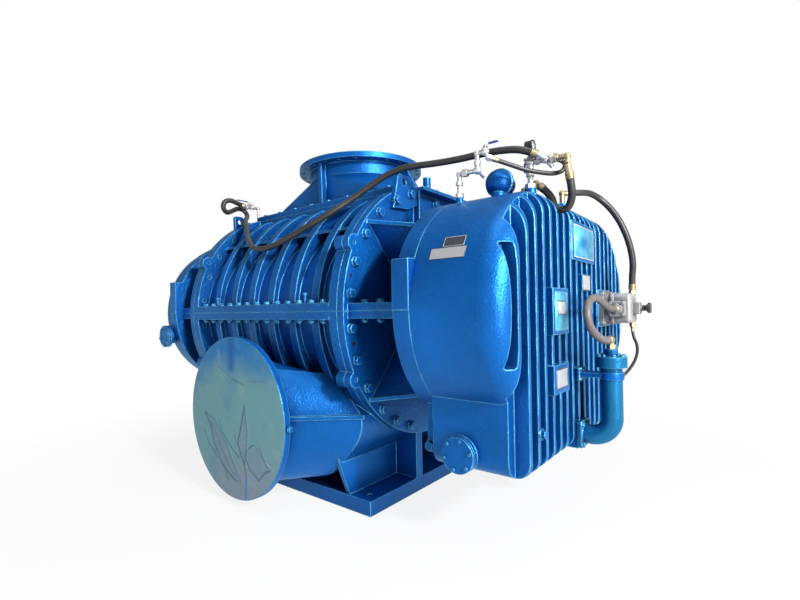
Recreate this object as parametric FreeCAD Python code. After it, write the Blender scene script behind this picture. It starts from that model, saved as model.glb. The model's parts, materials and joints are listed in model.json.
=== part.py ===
"""Three-lobe roots blower with a finned timing-gear case, oil filter loop and free hoses.

Frame: millimetres, origin on the floor under the middle of the casing, +X towards the
timing-gear end, -Y towards the outlet side, +Z up.
"""
import FreeCAD
import Part
import math
import os

V = FreeCAD.Vector
X_AXIS, Y_AXIS, Z_AXIS = V(1, 0, 0), V(0, 1, 0), V(0, 0, 1)

# Rotors and shafts
SHAFT_HEIGHT = 1220.0
ROTOR_SPACING = 810.0
LOBES = 3
ROTOR_RELIEF = 1.0
ROTOR_END_GAP = 1.5
ROTOR_CORE_R = 78.0
ROTOR_CORE_AT = 330.0
SHAFT_R = 105.0
JOURNAL_R = 90.0
GEAR_SEAT_R = 85.0
THREAD_R = 75.0
DRIVE_END_R = 70.0
DRIVE_END_LENGTH = 210.0
KEY_WIDTH = 36.0
KEY_HEIGHT = 20.0
KEY_LENGTH = 170.0
SLIP = 0.05

# Bearings and seals
BEARING_OUTER_R = 160.0
BEARING_WIDTH = 88.0
BEARING_RING = 16.0
ROLLERS = 14
ROLLER_SLIP = 0.03
SEAL_R = 150.0
SEAL_WIDTH = 60.0

# Timing gears
GEAR_TEETH = 54
GEAR_WIDTH = 150.0
GEAR_WEB = 50.0
GEAR_RIM = 45.0
GEAR_HUB_R = 150.0
GEAR_THINNING = 0.5
PRESSURE_ANGLE = 20.0
NUT_R = 115.0
NUT_WIDTH = 55.0
SLINGER_R = 390.0
SLINGER_WIDTH = 12.0

# Casing
CASING_HALF = 775.0
CASING_WALL = 45.0
FLANGE_WIDTH = 63.0
END_R = 820.0
END_Y = 260.0
EAR_R = 48.0
EAR_DROP = 386.0
SPLIT_HALF = 49.0
SPLIT_FRONT = 1080.0
RIBS = 6
RIB_PITCH = 213.5
RIB_WIDTH = 62.0
RIB_SET_BACK = 57.5
STRIP_HEIGHT = 1733.0
STRIP_WIDTH = 22.0
STRIP_DROP = 12.0
PORT_X = 600.0
PORT_Y = 340.0
PORT_WALL = 40.0
INLET_PAD_X = 752.0
INLET_PAD_Y = 504.0
INLET_PAD_TOP = 1996.0
PAD_THICK = 40.0
HOOD_X = 640.0
HOOD_Y = 400.0
HOOD_BOLTS = 8

# Round line flanges
PIPE_R = 400.0
PIPE_WALL = 22.0
WELD_LIP = 4.0
LINE_FLANGE_R = 507.5
LINE_FLANGE_THICK = 40.0
LINE_PCD = 950.0
LINE_HOLES = 24
LINE_HOLE_R = 16.5
INLET_TOP = 2393.0
NECK_LENGTH = 95.0
OUTLET_FRONT = 1236.0
OUTLET_HEIGHT = 559.0
FILM_THICK = 3.0
FILM_R = 452.0

# Discharge chamber under the casing
CHAMBER_FRONT = 880.0
CHAMBER_BACK = 560.0
CHAMBER_WALL = 22.0
CHAMBER_WIDE = 770.0
CHAMBER_RIDGE = 600.0
CHAMBER_TOP = 830.0
CHAMBER_TOP_HALF = 560.0
CHAMBER_BOTTOM = 180.0
CHAMBER_FLOOR_HALF = 400.0
RIDGE_OUT = 20.0
RIDGE_THICK = 24.0

# Base
BASE_X = 779.0
BASE_Y = 829.0
BASE_HEIGHT = 90.0
BASE_PLATE = 28.0
WEB_Y = 318.0
WEB_THICK = 66.0
GUSSET_X = 590.0
GUSSET_THICK = 30.0
ANCHOR_X = 704.0
ANCHOR_Y = 750.0
ANCHOR_R = 17.5

# End covers
COVER_PLATE = 50.0
GEAR_NECK = 355.0
DRIVE_NECK = 185.0
HOUSING_R = 225.0
SHELF_THICK = 22.0
SHELF_Z = 529.0
SHELF_Y = 872.0
SHELF_END_Y = 720.0
SHELF_END_Z = 475.0
RAIL_Y = 405.0
RAIL_Z = 802.0
RAIL_DEEP = 85.0
STUB_Y = -318.0
LEDGE_HALF = 42.0
LEDGE_Y = 1045.0
COVER_BOLT_R = 772.0
COVER_BOLT_TURNS = (7.2, 21.0, 35.0, 49.5, 61.5, 73.5)
COVER_BOLT_LOW = 735.0
M30_HEAD = 27.0
M30_R = 15.0
M24_HEAD = 21.0
M24_R = 12.0

# Lifting lugs
LUG_THICK = 30.0
LUG_HOLE_R = 22.0
LUG_LOW_BOLT = 660.0
GEAR_LUG = [(-656, 1850), (-608, 2056), (-592, 2070), (-500, 2072), (-482, 2060), (-470, 2046),
            (-456, 2030), (-430, 2022), (-407, 2022), (-407, 1900), (-500, 1862)]
GEAR_LUG_HOLE = (-545.0, 2030.0)
DRIVE_LUG = [(-668, 1852), (-676, 2022), (-664, 2036), (-606, 2038), (-590, 2014), (-568, 2000),
             (-470, 1996), (-452, 1986), (-407, 1986), (-407, 1900), (-500, 1862)]
DRIVE_LUG_HOLE = (-625.0, 1990.0)

# Gear plate and finned case
PLATE_THICK = 100.0
CASE_R = 606.0
CASE_Y = 494.0
CASE_DEPTH = 480.0
CASE_WALL = 22.0
CASE_ROUND = 125.0
CASE_BOLT_TURNS = (-70, -50, -28, 5, 24, 46, 68)
LUG_Y = 1104.0
LUG_TOP = 250.0
SUMP_Y = 913.0
SUMP_BOTTOM = 432.0
SUMP_ROUND = 90.0
FINS = 19
FIN_PITCH = 104.7
FIN_WIDTH = 24.0
FIN_DEPTH = 75.0
SLOT_WIDTH = 57.0
SLOT_LOW = -265.0
SLOT_HIGH = 290.0
SLOT_ROUND = 14.0
PAD_PROUD = 8.0
HAND_COVER_R = 88.0
HAND_COVER_THICK = 16.0
HAND_X = 1440.0
HAND_Z = 520.0
CASE_PLUG = (-716.0, 622.0)
HOUSING_END = 130.0
SIDE_PORT_OFFSET = 62.0
SIDE_PORT_Z = 1036.0
SIDE_PORT_REACH = 1108.0

# Pipework, gauge, breather, pump and filter
RISER_FOOT = (1310.0, -650.0, 1830.0)
RISER_HEIGHT = 130.0
TEE_HEIGHT = 90.0
MANIFOLD_X = 1620.0
MANIFOLD_Y = -425.0
MANIFOLD_Z = 2012.0
COCK_X = -26.0
COCK_Z = 20.0
STEM_R = 6.0
LEVER_THICK = 5.0
GAUGE_R = 32.0
GAUGE_RISE = 86.0
GAUGE_PIN_R = 1.5
GAUGE_REST = 130.0
LUG_VALVE = (-840.0, -432.0, 2140.0)
LUG_VALVE_FOOT = 1986.0
BREATHER = (1450.0, -452.0, 1927.0)
PUMP_Y0 = 340.0
PUMP_Y1 = 560.0
PUMP_Z0 = 1108.0
PUMP_Z1 = 1306.0
PUMP_END = 1945.0
PUMP_PORT = (1872.0, 1206.0)
SPINDLE = (450.0, 1208.0)
KNOB_STEM = 56.0
FILTER = (1936.0, -120.0)
FILTER_R = 54.0
FILTER_RIM = 78.0
FILTER_BEND = 110.0
FILTER_FOOT = 502.0
FILTER_TOP = 922.0
BRACKET_Z = 822.0
PLATE_SHEET = 2.0
HOSE_CUT = 0.45
FEED_REACH = 54.5

# Derived places
PITCH_R = ROTOR_SPACING / 2
ROLLING_R = PITCH_R / (2 * LOBES)
BORE_R = PITCH_R + 2 * ROLLING_R
WALL_R = BORE_R + CASING_WALL
COVER_X = CASING_HALF + COVER_PLATE
GEAR_PLATE_X = COVER_X + GEAR_NECK
CASE_X = GEAR_PLATE_X + PLATE_THICK
CASE_END = CASE_X + CASE_DEPTH
FIN_FLOOR = CASE_END - FIN_DEPTH
DRIVE_PLATE_X = COVER_X + DRIVE_NECK
DRIVE_CASE_X = DRIVE_PLATE_X + 90.0
DRIVE_FACE_X = DRIVE_CASE_X + HOUSING_END
NECK_R = PIPE_R + PIPE_WALL
MODULE = ROTOR_SPACING / GEAR_TEETH
AXES = (-PITCH_R, PITCH_R)
BIG = 4000.0


# Hose routes, end to end
HOSE_A = [V(1670, -459, 2036), V(1612, -486, 2070), V(1500, -494, 2092), V(1370, -500, 2098),
          V(1230, -510, 2096), V(1074, -538, 2098), V(906, -571, 2108), V(778, -592, 2090),
          V(662, -628, 2032), V(555, -700, 1945), V(462, -800, 1856), V(365, -868, 1792),
          V(262, -905, 1742), V(141, -948, 1684), V(10, -968, 1652), V(-120, -964, 1657),
          V(-240, -930, 1702), V(-350, -872, 1768), V(-465, -800, 1842), V(-570, -735, 1905),
          V(-672, -680, 1960), V(-756, -622, 2000), V(-828, -556, 2037), V(-870, -524, 2074),
          V(-890, -550, 2120), V(-893, -612, 2120), V(-886, -668, 2087), V(-876, -723, 2061),
          V(-867, -766, 2097), V(-855, -755, 2153), V(-846, -700, 2170), V(-841, -638, 2150),
          V(-840, -576, 2136)]
HOSE_B = [V(1500, -630, 2008), V(1556, -578, 1984), V(1622, -500, 1954), V(1690, -440, 1938),
          V(1744, -402, 1930), V(1784, -372, 1948), V(1790, -368, 1994), V(1746, -382, 2014)]
HOSE_C = [V(1823, -425, 1915), V(1828, -410, 1856), V(1826, -384, 1794), V(1794, -368, 1736),
          V(1728, -368, 1748), V(1710, -368, 1834), V(1648, -366, 1890)]
HOSE_D = [V(1636, 201, 1960), V(1690, 262, 1966), V(1722, 356, 1974), V(1768, 424, 1938),
          V(1830, 452, 1860), V(1885, 464, 1755), V(1925, 484, 1622), V(1938, 505, 1500),
          V(1925, 520, 1408), V(1925, 520, 1332)]
HOSE_E = [V(1872, 278, 1206), V(1872, 180, 1206), V(1872, 80, 1222), V(1880, -60, 1246),
          V(1890, -190, 1268), V(1895, -320, 1270), V(1900, -425, 1240), V(1905, -462, 1175),
          V(1915, -440, 1110), V(1932, -350, 1062), V(1936, -260, 1040), V(1936, -165, 1040)]
HOSE_F = [V(1926, 500, 1074), V(1926, 500, 1030), V(1955, 485, 970), V(1962, 440, 915),
          V(1958, 350, 866), V(1946, 250, 828), V(1936, 140, 806), V(1936, 40, 800), V(1936, -40, 800)]


def box(x0, x1, y0, y1, z0, z1):
    return Part.makeBox(x1 - x0, y1 - y0, z1 - z0, V(x0, y0, z0))


def rod(r, length, x, y, z, axis=X_AXIS):
    return Part.makeCylinder(r, length, V(x, y, z), axis)


def tube(r_out, r_in, length, x, y, z, axis=X_AXIS):
    start = V(x, y, z) - axis * 1.0
    hole = Part.makeCylinder(r_in, length + 2.0, start, axis)
    return rod(r_out, length, x, y, z, axis).cut(hole)


def hexagon(across, length, x, y, z, axis=Z_AXIS):
    """A hexagonal prism, as wide across its flats as `across`."""
    corner = across / math.sqrt(3)
    side = Y_AXIS if abs(axis.dot(Y_AXIS)) < 0.9 else Z_AXIS
    side = (side - axis * side.dot(axis)).normalize()
    other = axis.cross(side)
    start = V(x, y, z)
    points = []
    for k in range(7):
        a = math.radians(60 * k)
        points.append(start + side * (corner * math.cos(a)) + other * (corner * math.sin(a)))
    return Part.Face(Part.makePolygon(points)).extrude(axis * length)


def polygon_x(points, x0, x1):
    """A prism along X from a list of (y, z) corners."""
    loop = [V(x0, y, z) for y, z in points]
    return Part.Face(Part.makePolygon(loop + loop[:1])).extrude(V(x1 - x0, 0, 0))


def obround(r, y, x0, x1):
    """A prism along X whose ends are arcs of radius r about the lines y and -y."""
    z = SHAFT_HEIGHT
    tl, tr = V(x0, -y, z + r), V(x0, y, z + r)
    br, bl = V(x0, y, z - r), V(x0, -y, z - r)
    wire = Part.Wire([
        Part.makeLine(tl, tr),
        Part.Arc(tr, V(x0, y + r, z), br).toShape(),
        Part.makeLine(br, bl),
        Part.Arc(bl, V(x0, -y - r, z), tl).toShape()])
    return Part.Face(wire).extrude(V(x1 - x0, 0, 0))


def join(shapes):
    first = shapes[0]
    return first.multiFuse(shapes[1:]).removeSplitter()


def upper(shape):
    return shape.common(box(-BIG, BIG, -BIG, BIG, SHAFT_HEIGHT, BIG))


def lower(shape):
    return shape.common(box(-BIG, BIG, -BIG, BIG, -BIG, SHAFT_HEIGHT))


def mirror_x(shape):
    return shape.mirror(V(0, 0, 0), X_AXIS)


def mirror_y(shape):
    return shape.mirror(V(0, 0, 0), Y_AXIS)


# Rotors

def lobe_point(turn, tip):
    """One point of the cycloidal profile, set back by the relief; tip is True on a lobe."""
    r, q = PITCH_R, ROLLING_R
    if tip:
        k = (r + q) / q
        y = (r + q) * math.cos(turn) - q * math.cos(k * turn)
        z = (r + q) * math.sin(turn) - q * math.sin(k * turn)
        lean = (k + 1) * turn / 2
        normal = V(0, math.sin(lean), -math.cos(lean))
    else:
        k = (r - q) / q
        y = (r - q) * math.cos(turn) + q * math.cos(k * turn)
        z = (r - q) * math.sin(turn) - q * math.sin(k * turn)
        lean = (k - 1) * turn / 2
        normal = V(0, math.sin(lean), math.cos(lean))
    return V(0, y, z) - normal * ROTOR_RELIEF


def rotor_profile():
    """The closed outline of one rotor about its own axis, one lobe pointing along +Y."""
    span = 2 * math.pi / (2 * LOBES)
    steps = 14
    edges = []
    for k in range(2 * LOBES):
        tip = k % 2 == 0
        start = (k - 0.5) * span
        arc = []
        for i in range(steps + 1):
            turn = span * i / steps
            p = lobe_point(turn, tip)
            c, s = math.cos(start), math.sin(start)
            arc.append(V(0, p.y * c - p.z * s, p.y * s + p.z * c))
        curve = Part.BSplineCurve()
        curve.interpolate(arc)
        edges.append(curve.toShape())
    return Part.Wire(Part.__sortEdges__(edges))


def rotor(y):
    """A cored three-lobe rotor on the shaft line y, relieved from the true profile."""
    half = CASING_HALF - ROTOR_END_GAP
    body = Part.Face(rotor_profile()).extrude(V(2 * half, 0, 0))
    body.translate(V(-half, y, SHAFT_HEIGHT))
    cuts = [rod(SHAFT_R, 2 * half + 2, -half - 1, y, SHAFT_HEIGHT)]
    for k in range(LOBES):
        a = 2 * math.pi * k / LOBES
        cuts.append(rod(ROTOR_CORE_R, 2 * half + 2, -half - 1,
                        y + ROTOR_CORE_AT * math.cos(a), SHAFT_HEIGHT + ROTOR_CORE_AT * math.sin(a)))
    return body.cut(cuts)


def bearing_x(gear_end):
    """Where the bearing starts, measured along X from the middle, on either end."""
    face = GEAR_PLATE_X if gear_end else DRIVE_PLATE_X
    return face - BEARING_WIDTH


def shaft(y, driven_out):
    """A stepped shaft; the driving one also reaches out of the drive end."""
    z = SHAFT_HEIGHT
    gear_in = bearing_x(True)
    drive_in = bearing_x(False)
    gear_face = GEAR_PLATE_X + PLATE_THICK + 50.0
    gear_out = gear_face + GEAR_WIDTH
    parts = [rod(SHAFT_R, gear_in + drive_in, -drive_in, y, z),
             rod(JOURNAL_R, gear_face - gear_in, gear_in, y, z),
             rod(GEAR_SEAT_R, GEAR_WIDTH, gear_face, y, z),
             rod(THREAD_R, NUT_WIDTH, gear_out, y, z)]
    drive_out = DRIVE_CASE_X + 60.0
    parts.append(rod(JOURNAL_R, drive_out - drive_in, -drive_out, y, z))
    if driven_out:
        end = DRIVE_FACE_X + 40.0
        parts.append(rod(DRIVE_END_R + 8, end - drive_out, -end, y, z))
        parts.append(rod(DRIVE_END_R, DRIVE_END_LENGTH, -end - DRIVE_END_LENGTH, y, z))
    body = join(parts)
    if driven_out:
        body = body.cut(keyway(y))
    return body


def keyway(y):
    """The space a coupling's key needs, half of it in the shaft."""
    mid = -DRIVE_FACE_X - 40.0 - DRIVE_END_LENGTH / 2
    low = SHAFT_HEIGHT + DRIVE_END_R - KEY_HEIGHT * 0.6
    return box(mid - KEY_LENGTH / 2, mid + KEY_LENGTH / 2, y - KEY_WIDTH / 2, y + KEY_WIDTH / 2,
               low, low + KEY_HEIGHT)


def involute_gear(y, phase):
    """A spur gear with involute flanks, thinned a little for backlash."""
    pitch = MODULE * GEAR_TEETH / 2
    base = pitch * math.cos(math.radians(PRESSURE_ANGLE))
    tip = pitch + MODULE
    root = pitch - 1.25 * MODULE
    inv_pitch = math.tan(math.radians(PRESSURE_ANGLE)) - math.radians(PRESSURE_ANGLE)
    half = math.pi / (2 * GEAR_TEETH) - GEAR_THINNING / (2 * pitch)
    flank = []
    for i in range(6):
        r = root + (tip - root) * i / 5
        a = math.acos(base / r)
        flank.append((r, half + inv_pitch - (math.tan(a) - a)))

    def at(r, angle):
        return V(0, r * math.cos(angle), r * math.sin(angle))

    edges = []
    step = 2 * math.pi / GEAR_TEETH
    for k in range(GEAR_TEETH):
        mid = phase + k * step
        rise = [at(r, mid - w) for r, w in flank]
        fall = [at(r, mid + w) for r, w in reversed(flank)]
        for points in (rise, fall):
            curve = Part.BSplineCurve()
            curve.interpolate(points)
            edges.append(curve.toShape())
        edges.append(Part.Arc(rise[-1], at(tip, mid), fall[0]).toShape())
        nxt = at(root, mid + step - flank[0][1])
        edges.append(Part.Arc(fall[-1], at(root, mid + step / 2), nxt).toShape())
    blank = Part.Face(Part.Wire(Part.__sortEdges__(edges))).extrude(V(GEAR_WIDTH, 0, 0))
    x0 = GEAR_PLATE_X + PLATE_THICK + 50.0
    blank.translate(V(x0, y, SHAFT_HEIGHT))
    side = (GEAR_WIDTH - GEAR_WEB) / 2
    cuts = [rod(GEAR_SEAT_R, GEAR_WIDTH + 2, x0 - 1, y, SHAFT_HEIGHT)]
    for x in (x0 - 1, x0 + GEAR_WIDTH - side):
        cuts.append(tube(root - GEAR_RIM, GEAR_HUB_R, side + 1, x, y, SHAFT_HEIGHT))
    for k in range(6):
        a = math.radians(60 * k + 30)
        mid = (root - GEAR_RIM + GEAR_HUB_R) / 2
        cuts.append(rod(52, GEAR_WIDTH, x0, y + mid * math.cos(a), SHAFT_HEIGHT + mid * math.sin(a)))
    return blank.cut(cuts)


def lock_nut(y):
    x0 = GEAR_PLATE_X + PLATE_THICK + 50.0 + GEAR_WIDTH
    nut = tube(NUT_R, THREAD_R, NUT_WIDTH, x0, y, SHAFT_HEIGHT)
    slots = []
    for k in range(4):
        slot = box(x0 + 20, x0 + NUT_WIDTH + 1, y - 12, y + 12,
                   SHAFT_HEIGHT + NUT_R - 14, SHAFT_HEIGHT + NUT_R + 1)
        slot.rotate(V(x0, y, SHAFT_HEIGHT), X_AXIS, 90 * k)
        slots.append(slot)
    return nut.cut(slots)


def slinger(y):
    """An oil-splash disc on the drive-end journal, dipping into that end's oil."""
    x0 = -(DRIVE_CASE_X + 40.0)
    disc = tube(SLINGER_R, JOURNAL_R, SLINGER_WIDTH, x0, y, SHAFT_HEIGHT)
    hub = tube(JOURNAL_R + 28, JOURNAL_R, 36, x0 - 12, y, SHAFT_HEIGHT)
    return disc.fuse(hub).removeSplitter()


def bearing_starts():
    return (bearing_x(True), -DRIVE_PLATE_X)


def outer_rings():
    rings = []
    for x0 in bearing_starts():
        for y in AXES:
            rings.append(tube(BEARING_OUTER_R, BEARING_OUTER_R - BEARING_RING, BEARING_WIDTH,
                              x0, y, SHAFT_HEIGHT))
    return rings


def inner_rings(y):
    return [tube(JOURNAL_R + BEARING_RING, JOURNAL_R, BEARING_WIDTH, x0, y, SHAFT_HEIGHT)
            for x0 in bearing_starts()]


def bearing_rollers():
    """Rollers that sit in the outer rings with running clearance to the inner ones."""
    outer = BEARING_OUTER_R - BEARING_RING
    inner = JOURNAL_R + BEARING_RING
    r = (outer - inner) / 2 - ROLLER_SLIP
    mid = (outer + inner) / 2 + ROLLER_SLIP
    made = []
    for x0 in bearing_starts():
        for y in AXES:
            for k in range(ROLLERS):
                a = 2 * math.pi * k / ROLLERS
                made.append(rod(r, BEARING_WIDTH - 16, x0 + 8, y + mid * math.cos(a),
                                SHAFT_HEIGHT + mid * math.sin(a)))
    return made


def shaft_seals():
    """Split labyrinth seal rings where each shaft leaves the rotor chamber."""
    made = []
    for x0 in (CASING_HALF + 10, -CASING_HALF - 10 - SEAL_WIDTH):
        for y in AXES:
            made.append(tube(SEAL_R, SHAFT_R + SLIP, SEAL_WIDTH, x0, y, SHAFT_HEIGHT))
    return made


# Casing

def rib_places():
    return [(k - (RIBS - 1) / 2) * RIB_PITCH for k in range(RIBS)]


def bores(x0, x1):
    return [rod(BORE_R, x1 - x0, x0, y, SHAFT_HEIGHT) for y in AXES]


def ears(x0, x1):
    """Round lugs on an end flange's outline, above and below the split."""
    return [rod(EAR_R, x1 - x0, x0, y, z) for y, z in ear_places()]


def end_flange_slabs():
    return [obround(END_R, END_Y, CASING_HALF - FLANGE_WIDTH, CASING_HALF),
            obround(END_R, END_Y, -CASING_HALF, -CASING_HALF + FLANGE_WIDTH)]


def casing_flanges():
    """Both end flanges, the split flange and the ribs, before anything is hollowed."""
    inner = CASING_HALF - FLANGE_WIDTH
    made = end_flange_slabs()
    for x0 in (inner, -CASING_HALF):
        made += ears(x0, x0 + FLANGE_WIDTH)
    made.append(box(-inner, inner, -SPLIT_FRONT, SPLIT_FRONT,
                    SHAFT_HEIGHT - SPLIT_HALF, SHAFT_HEIGHT + SPLIT_HALF))
    for x in rib_places():
        made.append(obround(END_R, END_Y - RIB_SET_BACK, x - RIB_WIDTH / 2, x + RIB_WIDTH / 2))
    return made


def chamber_wire(y, shrink):
    """The discharge chamber's section at one y, ridge to ridge, inset by `shrink`."""
    wide, top = CHAMBER_WIDE - shrink, CHAMBER_TOP - shrink
    flat, low, floor = CHAMBER_TOP_HALF - shrink, CHAMBER_BOTTOM + shrink, CHAMBER_FLOOR_HALF
    side = [(wide, CHAMBER_RIDGE), (wide - 18, CHAMBER_RIDGE - 120), (wide - 75, CHAMBER_RIDGE - 205),
            (wide - 165, low + 125), (wide - 255, low + 40), (floor, low)]

    def spline(points):
        curve = Part.BSplineCurve()
        curve.interpolate([V(x, y, z) for x, z in points])
        return curve.toShape()

    right = spline(side)
    left = spline([(-x, z) for x, z in reversed(side)])
    tl, tr = V(-flat, y, top), V(flat, y, top)
    return Part.Wire([
        Part.makeLine(tl, tr), Part.makeLine(tr, V(wide, y, CHAMBER_RIDGE)), right,
        Part.makeLine(V(floor, y, low), V(-floor, y, low)), left,
        Part.makeLine(V(-wide, y, CHAMBER_RIDGE), tl)])


def pipe_wire(y, r):
    """The round end of the duct, cut into arcs that pair with the chamber's edges."""
    turns = (130, 50, 4, -65, -115, -184, -230)

    def at(a):
        a = math.radians(a)
        return V(r * math.cos(a), y, OUTLET_HEIGHT + r * math.sin(a))

    arcs = []
    for a, b in zip(turns, turns[1:]):
        arcs.append(Part.Arc(at(a), at((a + b) / 2), at(b)).toShape())
    return Part.Wire(arcs)


def loft(wires):
    return Part.makeLoft(wires, True, True)


def chamber(shrink, y0, y1):
    return Part.Face(chamber_wire(y0, shrink)).extrude(V(0, y1 - y0, 0))


def inlet_throat(x, y, z0, z1):
    return box(-x, x, -y, y, z0, z1)


def casing_upper():
    solid = upper(join(casing_flanges()))
    wall = upper(obround(WALL_R, PITCH_R, -CASING_HALF, CASING_HALF))
    inner = CASING_HALF - FLANGE_WIDTH
    strip = obround(END_R - STRIP_DROP, END_Y - RIB_SET_BACK, -inner, inner).common(
        box(-BIG, BIG, -BIG, BIG, STRIP_HEIGHT - STRIP_WIDTH / 2, STRIP_HEIGHT + STRIP_WIDTH / 2))
    port = box(-PORT_X - PORT_WALL, PORT_X + PORT_WALL, -PORT_Y - PORT_WALL, PORT_Y + PORT_WALL,
               SHAFT_HEIGHT + PITCH_R, INLET_PAD_TOP - PAD_THICK)
    pad_low = INLET_PAD_TOP - PAD_THICK
    above = box(-inner, inner, -BIG, BIG, pad_low, BIG)
    solid = join([solid.cut(above), wall, strip, port])
    pad = box(-INLET_PAD_X, INLET_PAD_X, -INLET_PAD_Y, INLET_PAD_Y, pad_low, INLET_PAD_TOP)
    pad = pad.cut(box(-BIG, -inner, -BIG, BIG, pad_low - 1, BIG))
    pad = pad.cut(box(inner, BIG, -BIG, BIG, pad_low - 1, BIG))
    solid = solid.fuse(pad)
    solid = solid.cut(bores(-CASING_HALF - 1, CASING_HALF + 1))
    seat = box(-INLET_PAD_X, INLET_PAD_X, -INLET_PAD_Y, INLET_PAD_Y, INLET_PAD_TOP, BIG)
    solid = solid.cut([inlet_throat(PORT_X, PORT_Y, SHAFT_HEIGHT, INLET_PAD_TOP + 1), seat])
    return solid.cut(casing_holes()).removeSplitter()


def casing_lower():
    solid = lower(join(casing_flanges()))
    hollow = chamber(CHAMBER_WALL, -CHAMBER_FRONT - 1, CHAMBER_BACK - CHAMBER_WALL)
    shell = chamber(0, -CHAMBER_FRONT, CHAMBER_BACK).cut(hollow)
    wall = lower(obround(WALL_R, PITCH_R, -CASING_HALF, CASING_HALF))
    solid = solid.cut([hollow, duct_outer()])
    solid = join([solid, shell, wall] + [lower(e) for e in end_flange_slabs()])
    solid = solid.cut(bores(-CASING_HALF - 1, CASING_HALF + 1))
    solid = solid.cut(inlet_throat(PORT_X, PORT_Y, SHAFT_HEIGHT - WALL_R - 60, SHAFT_HEIGHT))
    return solid.cut(casing_holes()).removeSplitter()


def split_bolt_places():
    """Bolts stand halfway between the ribs and in front of each rib, on both sides."""
    places = []
    pitch = RIB_PITCH / 2
    count = 2 * RIBS + 1
    for k in range(count):
        for side in (-1, 1):
            places.append(((k - (count - 1) / 2) * pitch, side * (SPLIT_FRONT - 30)))
    return places


def ear_places():
    reach = END_Y + math.sqrt(END_R ** 2 - EAR_DROP ** 2)
    return [(sy * reach, SHAFT_HEIGHT + dz) for sy in (-1, 1) for dz in (-EAR_DROP, EAR_DROP)]


def casing_holes():
    """Bolt holes of the split flange, the end flanges and their dowel ears."""
    low, high = SHAFT_HEIGHT - SPLIT_HALF, SHAFT_HEIGHT + SPLIT_HALF
    made = [rod(M24_R + 1, high - low + 2, x, y, low - 1, Z_AXIS) for x, y in split_bolt_places()]
    for x0 in (CASING_HALF - FLANGE_WIDTH - 1, -CASING_HALF - 1):
        for y, z in cover_bolt_places():
            made.append(rod(M30_R + 1, FLANGE_WIDTH + 2, x0, y, z))
        for y, z in ear_places():
            made.append(rod(M24_R, FLANGE_WIDTH + 2, x0, y, z))
    return made


def bolt(r, head, start, axis, grip, washer=True, tail=0.0):
    """A hexagon bolt: its head outside `start`, its shank running `grip` along -axis."""
    parts = [rod(r, grip + tail, start.x, start.y, start.z, axis * -1)]
    lift = 0.0
    if washer:
        lift = 4.0
        parts.append(rod(head * 1.12, lift, start.x, start.y, start.z, axis))
    top = start + axis * lift
    parts.append(hexagon(head * 1.732, r * 1.25, top.x, top.y, top.z, axis))
    if tail:
        end = start - axis * (grip + tail * 0.7)
        parts.append(hexagon(head * 1.732, tail * 0.7, end.x, end.y, end.z, axis))
    return join(parts)


def casing_split_bolts():
    made = []
    top = SHAFT_HEIGHT + SPLIT_HALF
    for x, y in split_bolt_places():
        made.append(bolt(M24_R, M24_HEAD, V(x, y, top), Z_AXIS, 2 * SPLIT_HALF, True, 24))
    return made


def casing_jack_screws():
    """Four tall screws in the upper flange that part the halves."""
    made = []
    top = SHAFT_HEIGHT + SPLIT_HALF
    for k in (-2.25, 2.25):
        for side in (-1, 1):
            x, y = k * RIB_PITCH, side * (SPLIT_FRONT - 30)
            screw = rod(7, 62, x, y, top, Z_AXIS)
            made.append(screw.fuse(hexagon(24, 12, x, y, top + 50, Z_AXIS)).removeSplitter())
    return made


# Inlet hood and outlet duct

def square_wire(x, y, z, r):
    """A rectangle with small round corners, its edges starting at the +X side."""
    edges = []
    k = r * (1 - math.sqrt(0.5))
    edges.append(Part.makeLine(V(x, -y + r, z), V(x, y - r, z)))
    edges.append(Part.Arc(V(x, y - r, z), V(x - k, y - k, z), V(x - r, y, z)).toShape())
    edges.append(Part.makeLine(V(x - r, y, z), V(-x + r, y, z)))
    edges.append(Part.Arc(V(-x + r, y, z), V(-x + k, y - k, z), V(-x, y - r, z)).toShape())
    edges.append(Part.makeLine(V(-x, y - r, z), V(-x, -y + r, z)))
    edges.append(Part.Arc(V(-x, -y + r, z), V(-x + k, -y + k, z), V(-x + r, -y, z)).toShape())
    edges.append(Part.makeLine(V(-x + r, -y, z), V(x - r, -y, z)))
    edges.append(Part.Arc(V(x - r, -y, z), V(x - k, -y + k, z), V(x, -y + r, z)).toShape())
    return Part.Wire(edges)


def circle_wire(r, z):
    """A circle in eight arcs: four short ones that face the sides, four long ones between."""
    def at(a):
        a = math.radians(a)
        return V(r * math.cos(a), r * math.sin(a), z)

    edges = []
    for k in range(4):
        a = 90 * k
        edges.append(Part.Arc(at(a - 3), at(a), at(a + 3)).toShape())
        edges.append(Part.Arc(at(a + 3), at(a + 45), at(a + 87)).toShape())
    return Part.Wire(edges)


def line_flange(start, axis):
    """A round line flange with its ring of bolt holes, its joint face at `start`."""
    back = start - axis * LINE_FLANGE_THICK
    ring = Part.makeCylinder(LINE_FLANGE_R, LINE_FLANGE_THICK, back, axis)
    cuts = [Part.makeCylinder(PIPE_R, LINE_FLANGE_THICK + 2, back - axis, axis)]
    other = axis.cross(X_AXIS)
    for k in range(LINE_HOLES):
        a = 2 * math.pi * (k + 0.5) / LINE_HOLES
        p = back - axis + X_AXIS * (LINE_PCD / 2 * math.cos(a)) + other * (LINE_PCD / 2 * math.sin(a))
        cuts.append(Part.makeCylinder(LINE_HOLE_R, LINE_FLANGE_THICK + 2, p, axis))
    return ring.cut(cuts)


def hood_bolt_places():
    """Bolts round the rectangular joint under the hood."""
    x1, y1 = INLET_PAD_X - 80, INLET_PAD_Y - 34
    places = []
    for k in range(HOOD_BOLTS):
        x = -x1 + 2 * x1 * k / (HOOD_BOLTS - 1)
        places += [(x, -y1), (x, y1)]
    for y in (-y1 / 2, 0, y1 / 2):
        places += [(-x1, y), (x1, y)]
    return places


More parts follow.
